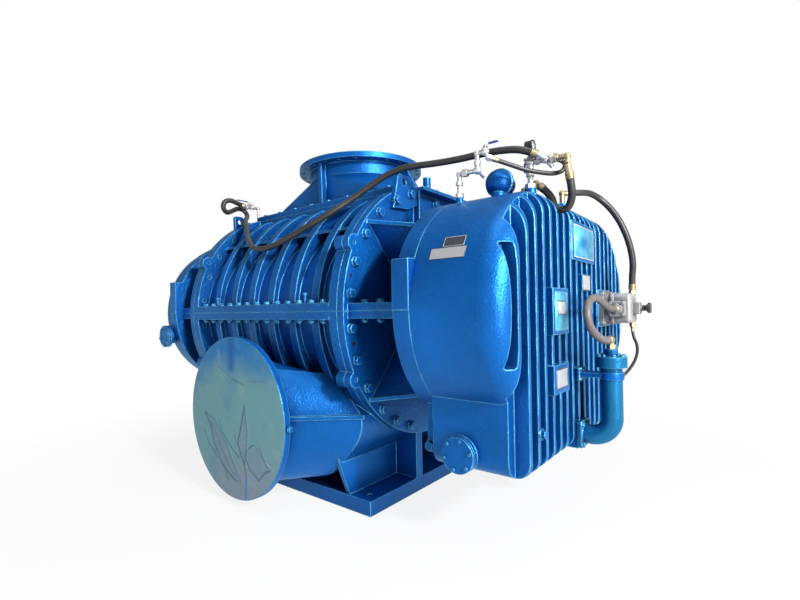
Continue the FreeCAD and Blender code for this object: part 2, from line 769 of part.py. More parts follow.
def inlet_hood():
    low = INLET_PAD_TOP
    plate_top = low + PAD_THICK
    neck = INLET_TOP - LINE_FLANGE_THICK - NECK_LENGTH
    outer = loft([square_wire(HOOD_X, HOOD_Y, plate_top, 20), circle_wire(NECK_R, neck)])
    inner = loft([square_wire(PORT_X, PORT_Y, plate_top - 1, 12), circle_wire(PIPE_R, neck)])
    plate = box(-INLET_PAD_X, INLET_PAD_X, -INLET_PAD_Y, INLET_PAD_Y, low, plate_top)
    pipe = rod(NECK_R, NECK_LENGTH, 0, 0, neck, Z_AXIS)
    gussets = []
    high = INLET_TOP - LINE_FLANGE_THICK
    for turn in range(4):
        foot = HOOD_X + 4 if turn % 2 else HOOD_Y + 62
        rib = polygon_x([(-NECK_R + 5, plate_top), (-foot, plate_top),
                         (-NECK_R - 46, high), (-NECK_R + 5, high)], -16, 16)
        rib.rotate(V(0, 0, 0), Z_AXIS, 90 * turn)
        gussets.append(rib)
    solid = join([plate, outer, pipe, line_flange(V(0, 0, INLET_TOP), Z_AXIS)] + gussets)
    solid = solid.cut([inner, rod(PIPE_R, NECK_LENGTH + 2, 0, 0, neck - 1, Z_AXIS),
                       inlet_throat(PORT_X, PORT_Y, low - 1, plate_top)])
    return solid.removeSplitter()


def inlet_hood_bolts():
    top = INLET_PAD_TOP + PAD_THICK
    return [hexagon(36, 16, x, y, top, Z_AXIS) for x, y in hood_bolt_places()]


def duct_outer():
    """The outside of the duct, from the line flange back to the discharge chamber."""
    start = -OUTLET_FRONT + LINE_FLANGE_THICK
    return loft([pipe_wire(start, NECK_R), chamber_wire(-CHAMBER_FRONT, 0)])


def outlet_duct():
    start = -OUTLET_FRONT + LINE_FLANGE_THICK
    inner = loft([pipe_wire(start - 0.5, PIPE_R - WELD_LIP), chamber_wire(-CHAMBER_FRONT + 0.5, CHAMBER_WALL)])
    flange = line_flange(V(0, -OUTLET_FRONT, OUTLET_HEIGHT), Y_AXIS * -1)
    ridge = duct_ridge(start).cut(end_flange_slabs() + [inner])
    return duct_outer().cut(inner).fuse(flange).fuse(ridge)


def duct_ridge(start):
    """The flat seam ribs along both sides of the duct."""
    z = CHAMBER_RIDGE
    low, high = z - RIDGE_THICK / 2, z + RIDGE_THICK / 2
    made = []
    for side in (-1, 1):
        points = [V(side * (NECK_R - 30), start, low), V(side * (NECK_R + RIDGE_OUT), start, low),
                  V(side * (CHAMBER_WIDE + RIDGE_OUT), -CHAMBER_FRONT, low),
                  V(side * (CHAMBER_WIDE - 60), -CHAMBER_FRONT, low)]
        plate = Part.Face(Part.makePolygon(points + points[:1])).extrude(V(0, 0, high - low))
        made.append(plate)
    return made[0].fuse(made[1])


def outlet_cover_film():
    return rod(FILM_R, FILM_THICK, 0, -OUTLET_FRONT - FILM_THICK, OUTLET_HEIGHT, Y_AXIS)


# End covers

def cover_bolt_places():
    """Bolt circle places on an end cover: (y, z) about the arcs and along the straights."""
    places = []
    for turn in COVER_BOLT_TURNS:
        a = math.radians(turn)
        y = END_Y + COVER_BOLT_R * math.cos(a)
        z = COVER_BOLT_R * math.sin(a)
        for sy in (-1, 1):
            for sz in (-1, 1):
                places.append((sy * y, SHAFT_HEIGHT + sz * z))
    for y in (-END_Y * 0.55, 0.0, END_Y * 0.55):
        for sz in (-1, 1):
            places.append((y, SHAFT_HEIGHT + sz * COVER_BOLT_LOW))
    return places


def frustum(section_a, x_a, section_b, x_b):
    """A straight-sided solid between two (y, z) outlines on planes of constant X."""
    wires = []
    for section, x in ((section_a, x_a), (section_b, x_b)):
        loop = [V(x, y, SHAFT_HEIGHT + z) for y, z in section]
        wires.append(Part.makePolygon(loop + loop[:1]))
    return loft(wires)


def shelf(neck, side):
    """One of the two tapering shelves that tie the cover plate to the outer plate."""
    t = SHELF_THICK * side
    a = [(-SHELF_Y, SHELF_Z * side), (SHELF_Y, SHELF_Z * side),
         (SHELF_Y, SHELF_Z * side - t), (-SHELF_Y, SHELF_Z * side - t)]
    b = [(-SHELF_END_Y, SHELF_END_Z * side), (SHELF_END_Y, SHELF_END_Z * side),
         (SHELF_END_Y, SHELF_END_Z * side - t), (-SHELF_END_Y, SHELF_END_Z * side - t)]
    return frustum(a, COVER_X, b, COVER_X + neck)


def brace(neck, sy, sz):
    """A slanting web from a shelf's edge in to the bearing housing."""
    hub_y, hub_z = PITCH_R + HOUSING_R * 0.55, HOUSING_R * 0.6
    t = SHELF_THICK * 0.8

    def section(y, z):
        return [(sy * y, sz * (z - 1)), (sy * hub_y, sz * hub_z),
                (sy * (hub_y - t), sz * (hub_z + t)), (sy * (y - 1.6 * t), sz * (z - 1))]

    return frustum(section(SHELF_Y, SHELF_Z), COVER_X, section(SHELF_END_Y, SHELF_END_Z), COVER_X + neck)


def end_cover(neck):
    """A whole end cover on the +X side: plate, bearing housings, shelves, webs and ledge."""
    x1 = COVER_X + neck
    parts = [obround(END_R, END_Y, CASING_HALF, COVER_X)] + ears(CASING_HALF, COVER_X)
    for y in AXES:
        parts.append(rod(HOUSING_R, neck, COVER_X, y, SHAFT_HEIGHT))
    parts.append(box(COVER_X, x1, -LEDGE_Y, LEDGE_Y, SHAFT_HEIGHT - LEDGE_HALF, SHAFT_HEIGHT + LEDGE_HALF))
    web_root, web_end = SHELF_Z - 2, SHELF_END_Z - 2
    parts.append(frustum([(-12, -web_root), (12, -web_root), (12, web_root), (-12, web_root)], COVER_X,
                         [(-12, -web_end), (12, -web_end), (12, web_end), (-12, web_end)], x1))
    for side in (-1, 1):
        parts.append(shelf(neck, side))
        for sy in (-1, 1):
            parts.append(brace(neck, sy, side))
    y, z, t = RAIL_Y, SHAFT_HEIGHT + RAIL_Z, SHELF_THICK
    parts.append(box(COVER_X, COVER_X + RAIL_DEEP, -y, y, z - t, z))
    for side in (-y, y - t * 0.7):
        parts.append(box(COVER_X, COVER_X + RAIL_DEEP * 0.55, side, side + t * 0.7, SHAFT_HEIGHT + SHELF_Z, z))
    solid = join(parts)
    cuts = []
    for y in AXES:
        z = SHAFT_HEIGHT
        cuts.append(rod(SHAFT_R + 1, neck + COVER_PLATE + 2, CASING_HALF - 1, y, z))
        cuts.append(rod(SEAL_R, SEAL_WIDTH, CASING_HALF + 10, y, z))
        cuts.append(rod(BEARING_OUTER_R, BEARING_WIDTH + 1, x1 - BEARING_WIDTH, y, z))
    for y, z in cover_bolt_places():
        cuts.append(rod(M30_R + 1, COVER_PLATE + 2, CASING_HALF - 1, y, z))
    for y, z in ear_places():
        cuts.append(rod(M24_R, COVER_PLATE + 2, CASING_HALF - 1, y, z))
    for x, y in ledge_bolt_places(neck):
        cuts.append(rod(M24_R + 1, 2 * LEDGE_HALF + 2, x, y, SHAFT_HEIGHT - LEDGE_HALF - 1, Z_AXIS))
    return solid.cut(cuts).removeSplitter()


def ledge_bolt_places(neck):
    count = 3 if neck > 250 else 1
    places = []
    for k in range(count):
        x = COVER_X + neck * (k + 0.7) / (count + 0.2)
        for y in (-LEDGE_Y + 55, LEDGE_Y - 55):
            places.append((x, y))
    return places


def end_cover_bolts():
    """All bolts of both end covers; those at the lifting lugs start on the lugs."""
    made = []
    for sx in (-1, 1):
        for y, z in cover_bolt_places():
            lift = LUG_THICK if on_lug(y, z) else 0.0
            start = V(sx * (COVER_X + lift), y, z)
            grip = COVER_PLATE + FLANGE_WIDTH - 4 + lift
            made.append(bolt(M30_R, M30_HEAD, start, X_AXIS * sx, grip))
    return made


def cover_split_bolts():
    made = []
    for sx, neck in ((1, GEAR_NECK), (-1, DRIVE_NECK)):
        for x, y in ledge_bolt_places(neck):
            start = V(sx * x, y, SHAFT_HEIGHT + LEDGE_HALF)
            made.append(bolt(M24_R, M24_HEAD, start, Z_AXIS, 2 * LEDGE_HALF, True, 24))
    return made


def cover_dowels():
    """Dowels through the round ears, which set each cover true to the casing."""
    length = FLANGE_WIDTH + COVER_PLATE - 6
    made = []
    for y, z in ear_places():
        pin = rod(M24_R, length, CASING_HALF - FLANGE_WIDTH + 3, y, z)
        made += [pin, mirror_x(pin)]
    return made


# Lifting lugs

def on_lug(y, z):
    return z > SHAFT_HEIGHT + LUG_LOW_BOLT and abs(y) > RAIL_Y


def lifting_lugs():
    """Two lugs on each end cover, under the cover's own bolts."""
    made = []
    for x0, outline, hole in ((COVER_X, GEAR_LUG, GEAR_LUG_HOLE), (-COVER_X - LUG_THICK, DRIVE_LUG, DRIVE_LUG_HOLE)):
        plate = polygon_x(outline, x0, x0 + LUG_THICK)
        cuts = [rod(LUG_HOLE_R, LUG_THICK + 2, x0 - 1, *hole)]
        for y, z in cover_bolt_places():
            if on_lug(y, z):
                cuts.append(rod(M30_R + 1, LUG_THICK + 2, x0 - 1, y, z))
        plate = plate.cut(cuts)
        made += [plate, mirror_y(plate)]
    return made


# Plates, gear case and drive-end housing

def plate_lugs(x0, x1):
    return [box(x0, x1, -LUG_Y, -LUG_Y + 200, SHAFT_HEIGHT, SHAFT_HEIGHT + LUG_TOP),
            box(x0, x1, LUG_Y - 200, LUG_Y, SHAFT_HEIGHT, SHAFT_HEIGHT + LUG_TOP)]


def case_bolt_places():
    """Bolts round the joint between the gear plate and the finned case."""
    r = CASE_R - 30
    places = []
    for turn in CASE_BOLT_TURNS:
        a = math.radians(turn)
        y = CASE_Y + r * math.cos(a)
        z = SHAFT_HEIGHT + r * math.sin(a)
        places += [(-y, z), (y, z)]
    for y in (-CASE_Y * 0.66, 0, CASE_Y * 0.66):
        places.append((y, SHAFT_HEIGHT + r))
    return places


def gear_plate():
    x0, x1 = GEAR_PLATE_X, CASE_X
    parts = [obround(CASE_R, CASE_Y, x0, x1)] + plate_lugs(x0, x1)
    parts.append(box(x0 + 30, x1, -SUMP_Y + 60, SUMP_Y - 60, SUMP_BOTTOM + 45, SHAFT_HEIGHT - 300))
    parts.append(rod(34, 18, x0 + 62, -SUMP_Y + 42, 516, Y_AXIS))
    cuts = [rod(BEARING_OUTER_R - 34, PLATE_THICK + 2, x0 - 1, y, SHAFT_HEIGHT) for y in AXES]
    cuts += [rod(9, PLATE_THICK + 2, x0 - 1, y, z) for y, z in case_bolt_places()]
    cuts.append(rod(20, 40, x0 + 62, -SUMP_Y + 41, 516, Y_AXIS))
    return join(parts).cut(cuts).removeSplitter()


def case_bolts():
    made = []
    for y, z in case_bolt_places():
        start = V(GEAR_PLATE_X, y, z)
        made.append(bolt(8, 13, start, X_AXIS * -1, PLATE_THICK + 20))
    return made


def front_edges(shape, x):
    picked = []
    for edge in shape.Edges:
        box_ = edge.BoundBox
        if abs(box_.XMin - x) < 0.1 and abs(box_.XMax - x) < 0.1:
            picked.append(edge)
    return picked


def long_edges(shape, z):
    picked = []
    for edge in shape.Edges:
        box_ = edge.BoundBox
        if box_.XLength > 20 and abs(box_.ZMin - z) < 0.1 and abs(box_.ZMax - z) < 0.1:
            picked.append(edge)
    return picked


def sump_block(inset, x0, x1, rounding):
    low = SUMP_BOTTOM + inset
    body = box(x0, x1, -SUMP_Y + inset, SUMP_Y - inset, low, SHAFT_HEIGHT - 200)
    return body.makeFillet(rounding, long_edges(body, low))


def gear_case():
    round_part = obround(CASE_R, CASE_Y, CASE_X, CASE_END)
    round_part = round_part.makeFillet(CASE_ROUND, front_edges(round_part, CASE_END))
    sump = sump_block(0, CASE_X, CASE_END, SUMP_ROUND)
    sump = sump.makeFillet(CASE_ROUND * 0.6, front_edges(sump, CASE_END))
    solid = round_part.fuse(sump)
    half = (FIN_PITCH - FIN_WIDTH) / 2
    for k in range(1, FINS):
        y = (k - FINS / 2) * FIN_PITCH
        solid = solid.cut(box(FIN_FLOOR, CASE_END + 1, y - half, y + half, 0, BIG))
    solid = solid.cut(cheek_slots(FINS / 2 * FIN_PITCH - half))
    pads = [box(FIN_FLOOR - 1, CASE_END + PAD_PROUD, *p) for p in case_pads()]
    bosses = []
    for x, y, r, top in top_ports():
        bosses.append(rod(r, top - SHAFT_HEIGHT - CASE_R + 40, x, y, SHAFT_HEIGHT + CASE_R - 40, Z_AXIS))
    bosses.append(rod(HAND_COVER_R, 60, HAND_X, -SUMP_Y - 24, HAND_Z, Y_AXIS))
    bosses.append(rod(28, FIN_DEPTH + 8, FIN_FLOOR - 1, *CASE_PLUG))
    solid = join([solid] + pads + bosses)
    inner_end = FIN_FLOOR - CASE_WALL
    lip = CASE_X + 26
    cavity = [obround(CASE_R - CASE_WALL, CASE_Y, lip, inner_end),
              obround(CASE_R - 58, CASE_Y, CASE_X - 1, lip + 1),
              sump_block(CASE_WALL, lip, inner_end, SUMP_ROUND - CASE_WALL),
              sump_block(CASE_WALL + 50, CASE_X - 1, lip + 1, SUMP_ROUND - CASE_WALL)]
    cuts = cavity + [rod(62, 110, HAND_X, -SUMP_Y - 25, HAND_Z, Y_AXIS)]
    cuts += [rod(8.5, 40, CASE_X - 1, y, z) for y, z in case_bolt_places()]
    return solid.cut(cuts).removeSplitter()


def cheek_slots(y):
    """The outermost grooves, which end inside the case's rounded cheeks."""
    slot = box(FIN_FLOOR, CASE_END + 1, y, y + SLOT_WIDTH, SHAFT_HEIGHT + SLOT_LOW, SHAFT_HEIGHT + SLOT_HIGH)
    slot = rounded(slot, SLOT_ROUND, X_AXIS)
    return [slot, mirror_y(slot)]


def case_pads():
    """Raised pads across the fins: y0, y1, z0, z1."""
    return [(-207, 233, 1488, 1712), (-537, -300, 1080, 1322), (-540, -310, 776, 926),
            (322, 604, 1090, 1332), (-178, -44, 426, 572), (-164, -60, 806, 876),
            (-27, 124, 1317, 1415)]


def top_ports():
    """Bosses on top of the case: x, y, radius and top height."""
    top = SHAFT_HEIGHT + CASE_R
    return [(MANIFOLD_X, MANIFOLD_Y, 30, top + 42), (1560, -366, 22, top + 14), (1615, -110, 26, top + 38),
            (1600, 160, 44, top + 60), (1600, 430, 18, top + 26), (BREATHER[0], BREATHER[1] + 12, 42, top + 6),
            (RISER_FOOT[0], RISER_FOOT[1], 20, RISER_FOOT[2])]


def port_covers():
    """Round bolted covers on the sump's side and on the drive-end housing's side."""
    sump = rod(HAND_COVER_R, HAND_COVER_THICK, HAND_X, -SUMP_Y - 24 - HAND_COVER_THICK, HAND_Z, Y_AXIS)
    side = rod(HAND_COVER_R, HAND_COVER_THICK, -DRIVE_CASE_X - SIDE_PORT_OFFSET,
               -SIDE_PORT_REACH - HAND_COVER_THICK, SIDE_PORT_Z, Y_AXIS)
    return [sump, side]


def port_cover_screws():
    made = []
    places = ((HAND_X, -SUMP_Y - 24 - HAND_COVER_THICK, HAND_Z),
              (-DRIVE_CASE_X - SIDE_PORT_OFFSET, -SIDE_PORT_REACH - HAND_COVER_THICK, SIDE_PORT_Z))
    for x, y, z in places:
        for k in range(6):
            a = math.radians(60 * k + 15)
            px, pz = x + 72 * math.cos(a), z + 72 * math.sin(a)
            made.append(hexagon(17, 9, px, y, pz, Y_AXIS * -1))
    return made


def drive_plate():
    x0, x1 = -DRIVE_CASE_X, -DRIVE_PLATE_X
    solid = join([obround(CASE_R, CASE_Y, x0, x1)] + plate_lugs(x0, x1))
    holes = [rod(BEARING_OUTER_R - 34, x1 - x0 + 2, x0 - 1, y, SHAFT_HEIGHT) for y in AXES]
    return solid.cut(holes)


def drive_housing():
    x0, x1 = -DRIVE_FACE_X, -DRIVE_CASE_X
    solid = obround(CASE_R - 20, CASE_Y, x0, x1)
    solid = solid.makeFillet(45, front_edges(solid, x0))
    port_x = x1 - SIDE_PORT_OFFSET
    port = [rod(SIDE_PORT_OFFSET - 1, 200, port_x, -SIDE_PORT_REACH, SIDE_PORT_Z, Y_AXIS),
            rod(HAND_COVER_R, 16, port_x, -SIDE_PORT_REACH, SIDE_PORT_Z, Y_AXIS)]
    rings = [rod(190, 24, x0 - 24, y, SHAFT_HEIGHT) for y in AXES]
    solid = join([solid] + port + rings)
    cuts = [obround(CASE_R - 42, CASE_Y, x0 + 22, x1 + 1)]
    cuts += [rod(DRIVE_END_R + 60, 60, x0 - 25, y, SHAFT_HEIGHT) for y in AXES]
    cuts.append(rod(SIDE_PORT_OFFSET - 20, 260, port_x, -SIDE_PORT_REACH - 1, SIDE_PORT_Z, Y_AXIS))
    return solid.cut(cuts).removeSplitter()


def shaft_exit_cover():
    """The flanged cover where the drive shaft leaves, seated on its ring."""
    x0 = -DRIVE_FACE_X - 24
    y = AXES[0]
    plate = rod(190, 20, x0 - 20, y, SHAFT_HEIGHT)
    spigot = rod(DRIVE_END_R + 60, 20, x0, y, SHAFT_HEIGHT)
    hole = rod(DRIVE_END_R + 30, 60, x0 - 21, y, SHAFT_HEIGHT)
    back = rod(DRIVE_END_R + 10, 60, x0 - 21, y, SHAFT_HEIGHT)
    ring = plate.fuse(spigot).cut(hole.common(box(x0 - 21, x0 + 14, -BIG, BIG, 0, BIG)))
    return ring.cut(back).removeSplitter()


def drive_lip_seal():
    x0 = -DRIVE_FACE_X - 44
    return tube(DRIVE_END_R + 30, DRIVE_END_R + 8 + SLIP, 30, x0 + 4, AXES[0], SHAFT_HEIGHT)


def blank_cover():
    x0 = -DRIVE_FACE_X - 24
    y = AXES[1]
    plate = rod(190, 20, x0 - 20, y, SHAFT_HEIGHT)
    return plate.fuse(rod(DRIVE_END_R + 60, 20, x0, y, SHAFT_HEIGHT)).removeSplitter()


def exit_cover_screws():
    made = []
    x = -DRIVE_FACE_X - 44
    for y in AXES:
        for k in range(8):
            a = 2 * math.pi * k / 8
            made.append(hexagon(24, 13, x, y + 160 * math.cos(a), SHAFT_HEIGHT + 160 * math.sin(a), X_AXIS * -1))
    return made


# Base

def base_frame():
    low = BASE_HEIGHT - BASE_PLATE
    parts = [box(-BASE_X, BASE_X, -BASE_Y, BASE_Y, low, BASE_HEIGHT)]
    wall = 25.0
    parts.append(box(-BASE_X, BASE_X, -wall / 2, wall / 2, 0, low))
    for sx in (-1, 1):
        x = sx * (BASE_X - wall / 2)
        parts.append(box(x - wall / 2, x + wall / 2, -BASE_Y, BASE_Y, 0, low))
    for sy in (-1, 1):
        y = sy * (BASE_Y - wall / 2)
        parts.append(box(-BASE_X, BASE_X, y - wall / 2, y + wall / 2, 0, low))
        y = sy * WEB_Y
        parts.append(box(-BASE_X, BASE_X, y - WEB_THICK / 2, y + WEB_THICK / 2, BASE_HEIGHT, SHAFT_HEIGHT / 2))
        for sx in (-1, 1):
            outline = [(sy * -WEB_Y, BASE_HEIGHT), (sy * -(BASE_Y - 12), BASE_HEIGHT),
                       (sy * -(BASE_Y + 92), 336), (sy * -(BASE_Y + 60), 398),
                       (sy * -(BASE_Y - 60), 520), (sy * -WEB_Y, 520)]
            x = sx * GUSSET_X
            parts.append(polygon_x(outline, x - GUSSET_THICK / 2, x + GUSSET_THICK / 2))
    solid = join(parts)
    clear = [chamber(0, -CHAMBER_FRONT, CHAMBER_BACK), duct_outer(),
             obround(END_R, END_Y, -COVER_X, COVER_X)] + ears(-COVER_X, COVER_X)
    solid = solid.cut(clear)
    holes = [rod(ANCHOR_R, BASE_PLATE + 2, sx * ANCHOR_X, sy * ANCHOR_Y, low - 1, Z_AXIS)
             for sx in (-1, 1) for sy in (-1, 1)]
    solid = solid.cut(holes)
    largest = max(solid.Solids, key=lambda s: s.Volume)
    return largest.removeSplitter()


# Pipework, valves and the gauge

def bar(r, p, q):
    """A round bar between two points."""
    return Part.makeCylinder(r, (q - p).Length, p, q - p)


def ball(r, p):
    return Part.makeSphere(r, p)


def tail(end, following, reach):
    """The point `reach` behind a hose's end, straight in line with the hose."""
    return end - (following - end).normalize() * reach


def nut_between(across, p, q):
    """A hexagonal fitting between two points."""
    axis = (q - p).normalize()
    return hexagon(across, (q - p).Length, p.x, p.y, p.z, axis)


def elbow_pipe(r, points):
    """Straight pipe runs with ball corners."""
    parts = []
    for a, b in zip(points, points[1:]):
        parts.append(bar(r, a, b))
    for p in points[1:-1]:
        parts.append(ball(r * 1.25, p))
    return parts


def lever(pivot, stem_axis, reach, width, rise):
    """A valve lever: an eye on the stem, a cranked neck and a flat handle along `reach`."""
    along = V(reach.x, reach.y, reach.z).normalize()
    side = stem_axis.cross(along)
    start = pivot + stem_axis * LEVER_THICK / 2

    def slab(p, q, w):
        half = side * (w / 2)
        t = stem_axis * (LEVER_THICK / 2)
        corners = [p + half - t, p - half - t, q - half - t, q + half - t]
        return Part.Face(Part.makePolygon(corners + corners[:1])).extrude(t * 2)

    step = along * (reach.Length * 0.2)
    lift = stem_axis * rise
    neck_a, neck_b = start + step, start + step * 1.6 + lift
    parts = [Part.makeCylinder(width * 0.62, LEVER_THICK, pivot, stem_axis),
             slab(start, neck_a, width * 0.8),
             bar(LEVER_THICK * 0.75, neck_a - step * 0.1, neck_b),
             slab(neck_b - step * 0.1, start + reach + lift, width)]
    eye = Part.makeCylinder(STEM_R + SLIP, LEVER_THICK * 3, pivot - stem_axis * LEVER_THICK, stem_axis)
    return join(parts).cut(eye)


def riser_points():
    x, y, z = RISER_FOOT
    high = z + RISER_HEIGHT
    return [V(x, y, z), V(x, y, high), V(x + 110, y, high), V(x + 110, y, high + TEE_HEIGHT)]


def pipe_riser():
    """The thin riser on the case's crown, its tee and its small ball valve's body."""
    p = riser_points()
    parts = elbow_pipe(13, p)
    parts.append(nut_between(40, p[0], p[0] + V(0, 0, 24)))
    parts.append(nut_between(34, p[1] - V(0, 0, 62), p[1] - V(0, 0, 40)))
    parts.append(nut_between(38, p[1] + V(22, 0, 0), p[1] + V(52, 0, 0)))
    parts.append(ball(22, p[2]))
    parts.append(bar(8, p[2], p[2] + V(0, 70, -22)))
    parts.append(nut_between(30, p[2] + V(0, 0, 26), p[2] + V(0, 0, 50)))
    top = p[3]
    parts.append(ball(18, top))
    parts.append(bar(14, top, top + V(46, 0, 0)))
    parts.append(ball(22, top + V(46, 0, 0)))
    parts.append(bar(STEM_R, top + V(46, 0, 0), top + V(46, 0, 40)))
    start = tail(HOSE_B[0], HOSE_B[1], 30)
    near = tail(HOSE_B[0], HOSE_B[1], 6)
    parts += [bar(11, top + V(46, 0, 0), start), ball(15, start), bar(12, start, HOSE_B[0]),
              nut_between(32, start, near)]
    return join(parts)


def riser_valve_lever():
    pivot = riser_points()[3] + V(46, 0, 24)
    return lever(pivot, Z_AXIS, X_AXIS * 72, 18, 12)


def manifold_cross():
    return V(MANIFOLD_X, MANIFOLD_Y, MANIFOLD_Z)


def manifold():
    """The post, cross and fittings over the case's crown."""
    c = manifold_cross()
    foot = V(c.x, c.y, SHAFT_HEIGHT + CASE_R + 42)
    valve = c + V(84, 0, -2)
    start, near = tail(HOSE_A[0], HOSE_A[1], 45), tail(HOSE_A[0], HOSE_A[1], 6)
    low = tail(HOSE_C[0], HOSE_C[1], 46)
    back = tail(HOSE_B[-1], HOSE_B[-2], 26)
    parts = [bar(15, foot, c), nut_between(52, foot, foot + V(0, 0, 26)),
             nut_between(40, foot + V(0, 0, 66), foot + V(0, 0, 92)), ball(24, c),
             bar(18, c - V(0, 0, 34), c + V(0, 0, 30)),
             bar(15, c, c + V(150, 0, -4)), nut_between(38, c + V(28, 0, 0), c + V(50, 0, 0)),
             ball(22, valve), nut_between(44, c + V(112, 0, -3), c + V(140, 0, -4)),
             bar(18, start, HOSE_A[0]), nut_between(46, tail(HOSE_A[0], HOSE_A[1], 22), near),
             bar(11, valve, valve + V(28, 24, -40)),
             bar(10, c + V(0, 0, 20), c + V(0, 0, 52)), nut_between(24, c + V(0, 0, 40), c + V(0, 0, 54)),
             bar(STEM_R, c + V(0, 0, COCK_Z), c + V(COCK_X - 9, 0, COCK_Z))]
    parts += elbow_pipe(14, [c + V(150, 0, -4), c + V(196, 0, -8), low])
    parts += [bar(18, low, HOSE_C[0]), bar(11, valve, back), ball(14, back), bar(12, back, HOSE_B[-1])]
    return join(parts)


def manifold_valve_lever():
    pivot = manifold_cross() + V(COCK_X, 0, COCK_Z)
    return lever(pivot, X_AXIS * -1, Z_AXIS * -72, 16, 0)


def gauge_centre():
    return manifold_cross() + V(4, 0, GAUGE_RISE)


def gauge_body():
    c = gauge_centre()
    case = rod(GAUGE_R, 34, c.x - 24, c.y, c.z)
    rim = tube(GAUGE_R + 2, GAUGE_R - 4, 8, c.x + 10, c.y, c.z)
    stem = bar(7, c - V(4, 0, GAUGE_RISE - 54), c - V(4, 0, 20))
    pin = rod(GAUGE_PIN_R, 5, c.x + 10, c.y, c.z)
    return join([case, rim, stem, pin])


def gauge_needle():
    c = gauge_centre()
    x0 = c.x + 11.5
    hub = rod(4, 1.6, x0, c.y, c.z)
    blade = polygon_x([(c.y - 1.2, c.z - 8), (c.y + 1.2, c.z - 8), (c.y + 0.6, c.z + 20),
                       (c.y - 0.6, c.z + 20)], x0, x0 + 1.6)
    needle = hub.fuse(blade)
    needle.rotate(c, X_AXIS, GAUGE_REST)
    return needle.cut(rod(GAUGE_PIN_R + SLIP, 10, c.x + 5, c.y, c.z)).removeSplitter()


def gauge_glass():
    c = gauge_centre()
    return rod(GAUGE_R - 4, 1.5, c.x + 16, c.y, c.z)


def lug_valve_body():
    """The ball valve on its stand pipe beside the drive-end lifting lug."""
    x, y, z = LUG_VALVE
    top = V(x, y, z)
    foot = V(x, y, LUG_VALVE_FOOT)
    start = tail(HOSE_A[-1], HOSE_A[-2], 26)
    parts = [bar(12, foot, top), ball(16, top), bar(13, top, start), ball(19, start),
             nut_between(30, foot, foot + V(0, 0, 18)),
             ball(21, top - V(0, 62, 0)), nut_between(36, top - V(0, 90, 0), top - V(0, 106, 0)),
             bar(STEM_R, top - V(0, 62, 0), top + V(0, -62, 40)),
             bar(18, start, HOSE_A[-1])]
    return join(parts)


def lug_valve_lever():
    x, y, z = LUG_VALVE
    return lever(V(x, y - 62, z + 24), Z_AXIS, Y_AXIS * -150, 18, 14)


# Breather, pump and filter

def breather():
    """The round-nosed breather on the crown: dome, clamp ring, neck and stub."""
    x, y, z = BREATHER
    dome = ball(75, V(x, y, z)).common(box(-BIG, BIG, -BIG, y, -BIG, BIG))
    foot = SHAFT_HEIGHT + CASE_R + 6
    parts = [dome, rod(82, 12, x, y, z, Y_AXIS), rod(36, 100, x, y, z, Y_AXIS),
             rod(55, 14, x, y + 86, z, Y_AXIS), rod(38, z - foot, x, y - 12, foot, Z_AXIS)]
    for k in range(6):
        a = math.radians(60 * k + 30)
        parts.append(hexagon(14, 8, x + 78 * math.cos(a) * 0.93, y + 12, z + 78 * math.sin(a) * 0.93, Y_AXIS))
    return join(parts)


def rounded(shape, r, axis):
    """Fillet the edges that run along one axis."""
    picked = []
    for edge in shape.Edges:
        d = edge.Vertexes[-1].Point - edge.Vertexes[0].Point
        if d.Length > 1 and abs(d.normalize().dot(axis)) > 0.99:
            picked.append(edge)
    return shape.makeFillet(r, picked)


def oil_pump():
    """The cast oil pump on its pad, with its port flange and its screws."""
    x0 = CASE_END + PAD_PROUD
    flange = rounded(box(x0, x0 + 24, PUMP_Y0 - 4, PUMP_Y1 + 26, PUMP_Z0 - 8, PUMP_Z1 + 14), 18, X_AXIS)
    body = rounded(box(x0 + 20, PUMP_END, PUMP_Y0 + 6, PUMP_Y1, PUMP_Z0 + 6, PUMP_Z1 - 2), 26, X_AXIS)
    body = body.makeFillet(20, front_edges(body, PUMP_END))
    rib = rounded(box(x0 + 66, x0 + 82, PUMP_Y0 - 4, PUMP_Y1 + 8, PUMP_Z0, PUMP_Z1 + 4), 24, X_AXIS)
    px, pz = PUMP_PORT
    pad = box(px - 48, px + 48, PUMP_Y0 - 22, PUMP_Y0 + 10, pz - 48, pz + 48)
    bore = bar(20, V(px, PUMP_Y0 - 44, pz), V(px, PUMP_Y0, pz))
    y, z = SPINDLE
    parts = [flange, body, rib, rounded(pad, 10, Y_AXIS), bore,
             nut_between(56, V(px, PUMP_Y0 - 36, pz), V(px, PUMP_Y0 - 20, pz))]
    parts.append(rounded(box(PUMP_END - 1, PUMP_END + 38, y - 36, y + 36, z - 38, z + 38), 8, X_AXIS))
    parts.append(rod(24, 9, PUMP_END + 37, y, z))
    for sy in (PUMP_Y0 + 12, PUMP_Y1 + 8):
        for sz in (PUMP_Z0 + 8, PUMP_Z1 - 2):
            parts.append(rod(11, 8, x0 + 24, sy, sz))
    for sx in (-36, 36):
        for sz in (-36, 36):
            parts.append(rod(7, 8, px + sx, PUMP_Y0 - 30, pz + sz, Y_AXIS))
    solid = join(parts)
    return solid.cut(rod(STEM_R, KNOB_STEM, PUMP_END, y, z))


def pump_adjuster():
    """The spool-shaped hand knob on the pump's relief spindle."""
    y, z = SPINDLE
    x = PUMP_END + KNOB_STEM - 4
    cone = Part.makeCone(13, 30, 20, V(x + 10, y, z), X_AXIS)
    knob = [rod(19, 10, x, y, z), cone, rod(33, 14, x + 30, y, z)]
    stem = rod(STEM_R - SLIP, KNOB_STEM, PUMP_END + 2, y, z)
    return join(knob + [stem])


